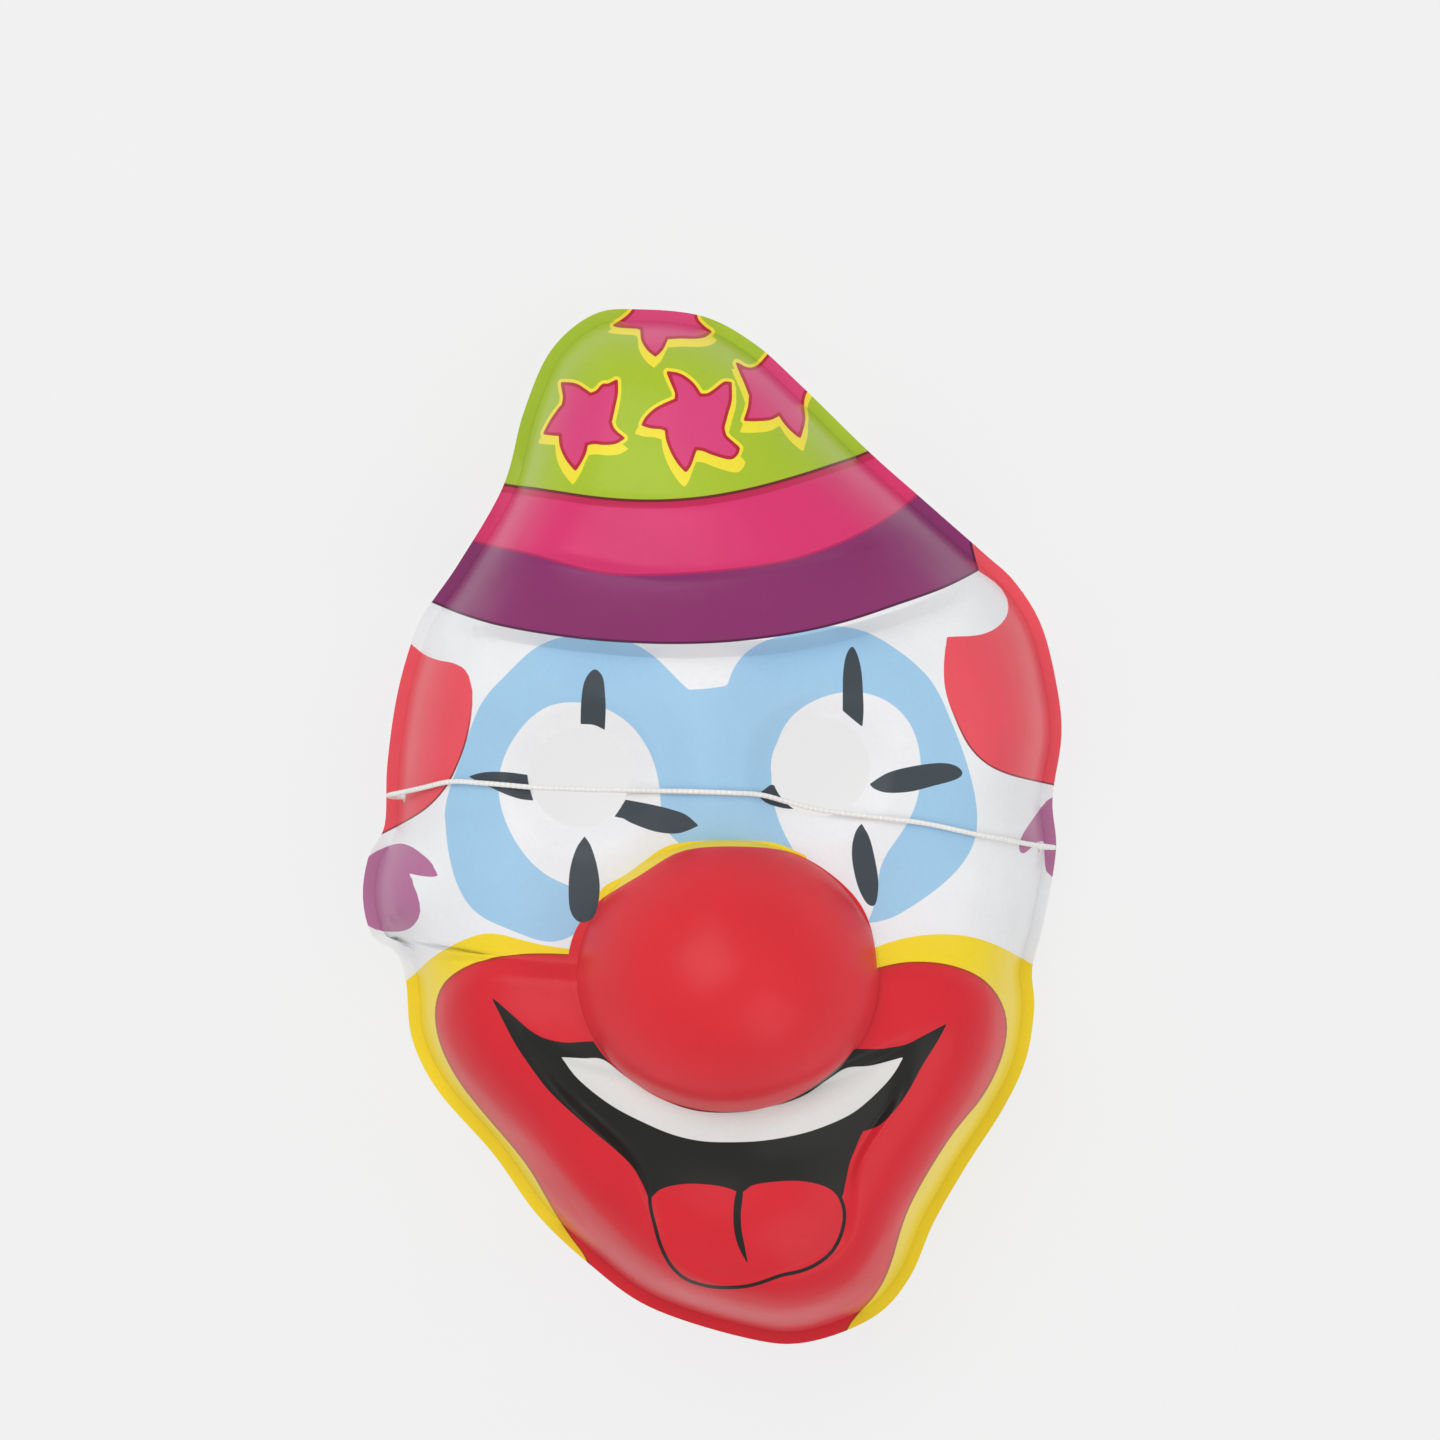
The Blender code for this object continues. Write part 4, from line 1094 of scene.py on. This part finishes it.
small["mouth_tips"] = [
    tip((-38.8, -42.3), MOUTH_BLACK, 0, 4, 4), tip((40.5, -46.3), MOUTH_BLACK, 3, 4, 4),
]
small["teeth_tips"] = [
    tip((-25.5, -49.0), TEETH_WHITE, 0, 3, 3), tip((33.5, -50.3), TEETH_WHITE, 1, 4, 3),
]

# %% [markdown]
# Warm plastic thins where it is drawn down a wall, and the ink on it thins as well. How much
# the sheet was stretched follows from its slope: a face that stands at 60 degrees has twice
# the area that it had when it was printed.

# %% How far the sheet was stretched
STEEPEST = 0.1

normals = np.empty(len(sheet) * 3, dtype=np.float32)
open_sheet.data.vertices.foreach_get("normal", normals)
stretch = 1.0 / np.clip(np.abs(normals.reshape(-1, 3)[:, 2]), STEEPEST, 1.0)
layer = open_sheet.data.attributes.new("stretch", "FLOAT", "POINT")
layer.data.foreach_set("value", stretch.astype(np.float32))
print(f"most stretched {stretch.max():.1f} times, half of it under {np.median(stretch):.2f}")

# %% [markdown]
# The Solidify modifier gives the sheet its wall on the inner side, with a second material
# there, because only the outer side is printed. Where the brim tucks back more tightly than the
# wall is thick, the inner side crosses itself. The modifier is applied, so that the cut edges can
# be kept sharp.

# %% The wall
SHARP_ANGLE = 50.0

solidify = open_sheet.modifiers.new("Wall", "SOLIDIFY")
solidify.thickness = WALL
solidify.offset = -1.0
solidify.material_offset = 1
solidify.material_offset_rim = 1
for slot in ("printed side", "plain side"):
    open_sheet.data.materials.append(bpy.data.materials.new(slot))
evaluated = open_sheet.evaluated_get(bpy.context.evaluated_depsgraph_get())
solid = bpy.data.meshes.new_from_object(evaluated)
bpy.data.objects.remove(open_sheet)
solid.name = "formed_sheet"
solid.set_sharp_from_angle(angle=math.radians(SHARP_ANGLE))
mask = bpy.data.objects.new("formed_sheet", solid)
bpy.context.scene.collection.objects.link(mask)
triangles = sum(len(face.vertices) - 2 for face in solid.polygons)
print(f"the sheet has {triangles} triangles and {len(solid.attributes)} attributes")

# %% [markdown]
# ## Writing shader formulas as Python
#
# A material's colours come from many small sums. Adding Math nodes by hand hides the sums, so
# a small class wraps one socket, and Python's own signs add the nodes. Every other node comes
# from its one method add.

# %% Formulas for sockets
def draw_curve(mapping, heights):
    """A curve over 0 to 1 through heights at even steps, straight between them."""
    points = mapping.curves[0].points
    points[0].location = (0.0, heights[0])
    points[1].location = (1.0, heights[-1])
    for share, height in zip(np.linspace(0.0, 1.0, len(heights))[1:-1], heights[1:-1]):
        points.new(share, height)
    for point in points:
        point.handle_type = "VECTOR"
    mapping.update()


class Wire:
    """One output socket in a node tree that takes part in formulas."""

    def __init__(self, tree, socket=None):
        self.tree = tree
        self.socket = socket

    def add(self, kind, settings=(), inputs=(), output=0):
        """Add a node: its settings first, then a value or a wire for each named input."""
        node = self.tree.nodes.new(kind)
        for name, value in dict(settings).items():
            if name == "curve":
                draw_curve(node.mapping, value)
            else:
                setattr(node, name, value)
        for name, value in dict(inputs).items():
            self.feed(node.inputs[name], value)
        return Wire(self.tree, node.outputs[output])

    def feed(self, socket, value):
        """Link a wire to a socket, or set the socket to a plain value."""
        if isinstance(value, Wire):
            self.tree.links.new(value.socket, socket)
        else:
            socket.default_value = value

    def math(self, operation, *values, clamp=False):
        """A Math node on the values."""
        settings = {"operation": operation, "use_clamp": clamp}
        return self.add("ShaderNodeMath", settings, dict(enumerate(values)))

    def __add__(self, other):
        return self.math("ADD", self, other)

    __radd__ = __add__

    def __sub__(self, other):
        return self.math("SUBTRACT", self, other)

    def __rsub__(self, other):
        return self.math("SUBTRACT", other, self)

    def __mul__(self, other):
        return self.math("MULTIPLY", self, other)

    def __abs__(self):
        return self.math("ABSOLUTE", self)

    def clamped(self):
        """The value held between 0 and 1."""
        return self.math("ADD", self, 0.0, clamp=True)


def linear(red, green, blue):
    """A colour given in 0 to 255, as a screen shows it, in the linear light Blender uses."""
    shown = np.array((red, green, blue)) / 255.0
    light = np.where(shown <= 0.04045, shown / 12.92, ((shown + 0.055) / 1.055) ** 2.4)
    return (*light.tolist(), 1.0)


def mix(factor, under, over, blend="MIX"):
    """Lay one colour over another by a factor."""
    settings = {"data_type": "RGBA", "blend_type": blend}
    return factor.add("ShaderNodeMix", settings, {0: factor, 6: under, 7: over}, output=2)


# %% [markdown]
# ## The inks
#
# The print is laid down in the order in which the shapes cover each other. Two helpers read a
# depth: one gives the inside of a shape and the other a thin line along its edge.

# %% The inks
EDGE_SHARPNESS = 9.0
WHITE = linear(240, 241, 243)
GREEN = linear(172, 198, 50)
BAND_PINK = linear(220, 56, 114)
BRIM_PURPLE = linear(140, 50, 108)
STAR_PINK = linear(221, 70, 126)
YELLOW = linear(247, 219, 46)
STAR_YELLOW = linear(247, 230, 62)
BLUE = linear(163, 205, 235)
DASH_GREY = linear(66, 75, 82)
HAIR_RED = linear(236, 86, 98)
EAR_PURPLE = linear(184, 116, 156)
RED = linear(218, 42, 54)
NOSE_RED = linear(222, 46, 56)
BLACK = linear(36, 36, 34)
TEETH = linear(230, 230, 227)
DARK_LINE = linear(108, 42, 40)
ORANGE_LINE = linear(176, 62, 30)
STAR_LINE = linear(186, 38, 58)
PURPLE_LINE = linear(86, 30, 70)
STRIP_RED = linear(198, 40, 86)
BAND_LINE = linear(172, 36, 92)
MOTTLE_DARK = linear(120, 110, 112)
STRIP_WIDTH = 1.6
HAIR_LINE_TOP = 0.026
HAIR_LINE_FADE = 125.0


def stored(start, name):
    """A number kept on the places of the mesh, such as the depth inside an ink's outline."""
    settings = {"attribute_name": name, "attribute_type": "GEOMETRY"}
    return start.add("ShaderNodeAttribute", settings, output=2)


def inside(depth, grown=0.0):
    """1 inside the outline, or inside it grown by some millimetres."""
    return depth.math(
        "MULTIPLY_ADD", depth, EDGE_SHARPNESS, 0.5 + EDGE_SHARPNESS * grown, clamp=True
    )


def line_at(depth, width, at=0.0):
    """1 along the outline, on a line of some width in millimetres."""
    return inside(width / 2 - abs(depth - at))


def depth_by_reach(place, shapes):
    """Depth inside the nearest of several small shapes, in millimetres: the shape's reach in
    the direction of the place, less the distance of the place from the shape's middle."""
    deepest = None
    for middle, reach in shapes:
        step = {0: place, 1: (*middle, 0.0)}
        away = place.add("ShaderNodeVectorMath", {"operation": "SUBTRACT"}, step)
        across, up = (
            away.add("ShaderNodeSeparateXYZ", inputs={0: away}, output=axis) for axis in (0, 1)
        )
        distance = away.add("ShaderNodeVectorMath", {"operation": "LENGTH"}, {0: away}, output=1)
        turn = away.math("ARCTAN2", up, across) * (0.5 / math.pi) + 0.5
        share = turn.add("ShaderNodeFloatCurve", {"curve": reach / FARTHEST}, {"Value": turn})
        depth = share * FARTHEST - distance
        deepest = depth if deepest is None else depth.math("MAXIMUM", deepest, depth)
    return deepest


def print_colours(start, mottle):
    """Every ink over the white sheet, in the order in which they cover each other."""
    depth = {name: stored(start, name) for name in inks}
    place = start.add("ShaderNodeTexCoord", output=3)
    in_mm = {0: place, 1: (1000.0, 1000.0, 0.0)}
    flat_place = start.add("ShaderNodeVectorMath", {"operation": "MULTIPLY"}, in_mm)
    depth.update({name: depth_by_reach(flat_place, shapes) for name, shapes in small.items()})
    up = start.add("ShaderNodeSeparateXYZ", inputs={"Vector": place}, output=1)
    low_hair = ((HAIR_LINE_TOP - up) * HAIR_LINE_FADE).clamped()
    colour = mix(inside(depth["blue"]), WHITE, BLUE)
    colour = mix(inside(depth["disc"]), colour, WHITE)
    colour = mix(inside(depth["hair"]), colour, HAIR_RED)
    colour = mix(line_at(depth["hair"], width=0.35, at=0.1) * low_hair * 0.8, colour, DARK_LINE)
    colour = mix(inside(depth["ear"]), colour, EAR_PURPLE)
    colour = mix(inside(depth["lip_yellow"]), colour, YELLOW)
    colour = mix(inside(depth["lip_red"]), colour, RED)
    lip_line = line_at(depth["lip_red"], width=0.45) * inside(depth["lip_yellow"])
    colour = mix(lip_line, colour, ORANGE_LINE)
    for name in ("mouth", "mouth_tips"):
        colour = mix(inside(depth[name]), colour, BLACK)
    colour = mix(inside(depth["tongue"]), colour, RED)
    colour = mix(line_at(depth["tongue"], width=0.75), colour, BLACK)
    colour = mix(inside(depth["fold"]), colour, BLACK)
    colour = mix(inside(depth["nose_yellow"]), colour, YELLOW)
    colour = mix(inside(depth["nose"]), colour, NOSE_RED)
    for name in ("teeth", "teeth_tips"):
        colour = mix(inside(depth[name]), colour, TEETH)
    colour = mix(inside(depth["dash"]), colour, DASH_GREY)
    colour = mix(inside(depth["hat"]), colour, BRIM_PURPLE)
    colour = mix(line_at(depth["hat"], width=0.5, at=0.2), colour, PURPLE_LINE)
    colour = mix(inside(depth["band"]), colour, BAND_PINK)
    colour = mix(line_at(depth["band"], width=0.45, at=0.2) * 0.7, colour, BAND_LINE)
    colour = mix(inside(depth["crown"], grown=STRIP_WIDTH) * inside(depth["hat"]), colour, STRIP_RED)
    colour = mix(inside(depth["crown"]), colour, GREEN)
    star_light = inside(start.math("MAXIMUM", depth["star_yellow"], depth["star_rim"]))
    colour = mix(star_light * inside(depth["crown"]), colour, STAR_YELLOW)
    colour = mix(inside(depth["star"]), colour, STAR_LINE)
    colour = mix(inside(depth["star_pink"]), colour, STAR_PINK)
    colour = mix(line_at(depth["crown"], width=0.6), colour, DARK_LINE)
    return mix(mottle, colour, MOTTLE_DARK, "MULTIPLY")


# %% [markdown]
# ## Glossy printed plastic
#
# The sheet is thin PVC with a soft gloss. Seen close, its gloss is a little uneven, the ink is
# mottled, and the surface has the faint waves that are left when a thin sheet cools on a mould.
# The patterns read Object coordinates, so they stay on the sheet in every view.

# %% The plastic
THINNING = 0.01
PLASTIC_SPECULAR = 0.2
UNTHINNED = 1.2
# Scales of the noises, and the height of the waves in metres.
CLOUDS = 60.0
GRAINS = 1100.0
WAVES = 120.0
WAVE_HEIGHT = 0.0002


def noise(start, scale, detail=2.0):
    """Noise in the object's own coordinates, around 0.5."""
    place = start.add("ShaderNodeTexCoord", output=3)
    inputs = {"Vector": place, "Scale": scale, "Detail": detail}
    return start.add("ShaderNodeTexNoise", inputs=inputs)


def bump(start, height, distance):
    """A bump from a height, distance being what 1 stands for in metres."""
    return start.add("ShaderNodeBump", inputs={"Distance": distance, "Height": height})


def dress(material, colour, rough, normal, specular):
    """Feed a material's shader."""
    shader = material.node_tree.nodes["Principled BSDF"]
    shader.inputs["Specular IOR Level"].default_value = specular
    for name, wire in (("Base Color", colour), ("Roughness", rough), ("Normal", normal)):
        wire.feed(shader.inputs[name], wire)


def open_tree(material):
    """The start of a material's formulas."""
    material.use_nodes = True
    return Wire(material.node_tree)


printed, plain = (slot.material for slot in mask.material_slots)

start = open_tree(printed)
cloud = noise(start, CLOUDS)
grain = noise(start, GRAINS, 3.0)
waves = noise(start, WAVES, 1.0)
mottle = (cloud * 0.16 + grain * 0.08 - 0.05).clamped()
thinned = ((stored(start, "stretch") - UNTHINNED) * THINNING).clamped()
inked = mix(thinned, print_colours(start, mottle), WHITE)
rough = 0.27 + cloud * 0.12
rippled = bump(start, waves + grain * 0.02, WAVE_HEIGHT)
dress(printed, inked, rough, rippled, PLASTIC_SPECULAR)

# %% [markdown]
# The inner side is bare white plastic. The print shines through it faintly.

# %% The plain side
SHOW_THROUGH = 0.10

start = open_tree(plain)
cloud = noise(start, CLOUDS)
waves = noise(start, WAVES, 1.0)
faint = (cloud * 0.05 + SHOW_THROUGH).clamped()
bare = mix((cloud * 0.25).clamped(), linear(238, 238, 236), linear(216, 215, 211))
seen = mix(faint, bare, print_colours(start, (cloud * 0.2).clamped()))
dress(plain, seen, 0.30 + cloud * 0.16, bump(start, waves, WAVE_HEIGHT), PLASTIC_SPECULAR)

# %% [markdown]
# ## White elastic
#
# The cover is braided from fine polyester yarns. A fine noise stands for the yarns, and the
# numbers kept on the thread paint shade into the valleys between its ridges. The knots have
# none, so there the cover keeps its middle tone, with no painted shade.

# %% The elastic
YARNS = 2600.0
YARN_HEIGHT = 0.00006
SOFTNESS = 160.0
COTTON_SPECULAR = 0.3

elastic = bpy.data.materials.new("white elastic")
start = open_tree(elastic)
yarn = noise(start, YARNS)
soft = noise(start, SOFTNESS)
# The braid term is painted shade in the valleys between the ridges; the yarn and soft noises are the
# cover's own uneven tone.
tone_and_valley_shade = yarn * 0.8 + soft * 0.3 - 0.25 - stored(start, "braid") * 0.25
yarn_colour_and_shade = mix(tone_and_valley_shade.clamped(), linear(246, 246, 243), linear(206, 205, 200))
dress(elastic, yarn_colour_and_shade, 0.72 + yarn * 0.16, bump(start, yarn, YARN_HEIGHT), COTTON_SPECULAR)
thread.data.materials.append(elastic)
for knot in knots.values():
    knot.data.materials.append(elastic)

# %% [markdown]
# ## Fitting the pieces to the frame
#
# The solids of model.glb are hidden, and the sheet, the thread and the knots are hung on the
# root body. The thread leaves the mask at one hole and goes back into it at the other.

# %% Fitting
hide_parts("mask_shell")
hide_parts("elastic_cord")
for node, knot in knots.items():
    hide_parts(node)
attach(mask, "root")
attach(thread, "root")
for knot in knots.values():
    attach(knot, "root")

# %% [markdown]
# ## The floor and the light
#
# The mask lies on a sheet of opal plastic that glows a little, as on a light table, so the eye
# holes look almost as pale as the discs round them. A big soft lamp stands at the upper left and a
# weaker one opposite, and the plain view transform leaves the inks as they are.

# %% The stage
FLOOR_SIZE = 8.0
HAZE = 30.0
HAZE_HEIGHT = 0.00002
OPAL_SPECULAR = 0.3
FLOOR_GLOW = 0.71
SKY_LIGHT = 0.64
PURE_WHITE = (1.0, 1.0, 1.0, 1.0)
LAMP_TARGET = (0.0, 0.0, 0.02)
# Columns: name, place, size and power.
LAMPS = (
    ("soft box", (-0.45, 0.55, 1.25), 1.1, 8.0),
    ("fill", (0.7, -0.6, 0.9), 0.9, 2.8),
)

floor_mesh = bpy.data.meshes.new("floor")
half = FLOOR_SIZE / 2
corners = [(-half, -half, 0.0), (half, -half, 0.0), (half, half, 0.0), (-half, half, 0.0)]
floor_mesh.from_pydata(corners, [], [(0, 1, 2, 3)])
floor = bpy.data.objects.new("floor", floor_mesh)
bpy.context.scene.collection.objects.link(floor)
opal = bpy.data.materials.new("opal plastic")
start = open_tree(opal)
haze = noise(start, HAZE)
pale = mix((haze * 0.4).clamped(), linear(110, 110, 110), linear(106, 106, 106))
dress(opal, pale, 0.80 + haze * 0.1, bump(start, haze, HAZE_HEIGHT), OPAL_SPECULAR)
glow = opal.node_tree.nodes["Principled BSDF"]
glow.inputs["Emission Color"].default_value = PURE_WHITE
glow.inputs["Emission Strength"].default_value = FLOOR_GLOW
floor_mesh.materials.append(opal)


def lamp(name, place, size, power):
    """A square area lamp that points at the mask's middle."""
    light = bpy.data.lights.new(name, "AREA")
    light.size = size
    light.energy = power
    obj = bpy.data.objects.new(name, light)
    obj.location = place
    away = np.array(place) - np.array(LAMP_TARGET)
    tilt = math.atan2(math.hypot(away[0], away[1]), away[2])
    obj.rotation_euler = (tilt, 0.0, math.atan2(away[0], -away[1]))
    bpy.context.scene.collection.objects.link(obj)


for name, place, size, power in LAMPS:
    lamp(name, place, size, power)
world = bpy.data.worlds.new("studio")
bpy.context.scene.world = world
world.use_nodes = True
sky = world.node_tree.nodes["Background"]
sky.inputs["Color"].default_value = PURE_WHITE
sky.inputs["Strength"].default_value = SKY_LIGHT
bpy.context.scene.view_settings.view_transform = "Standard"
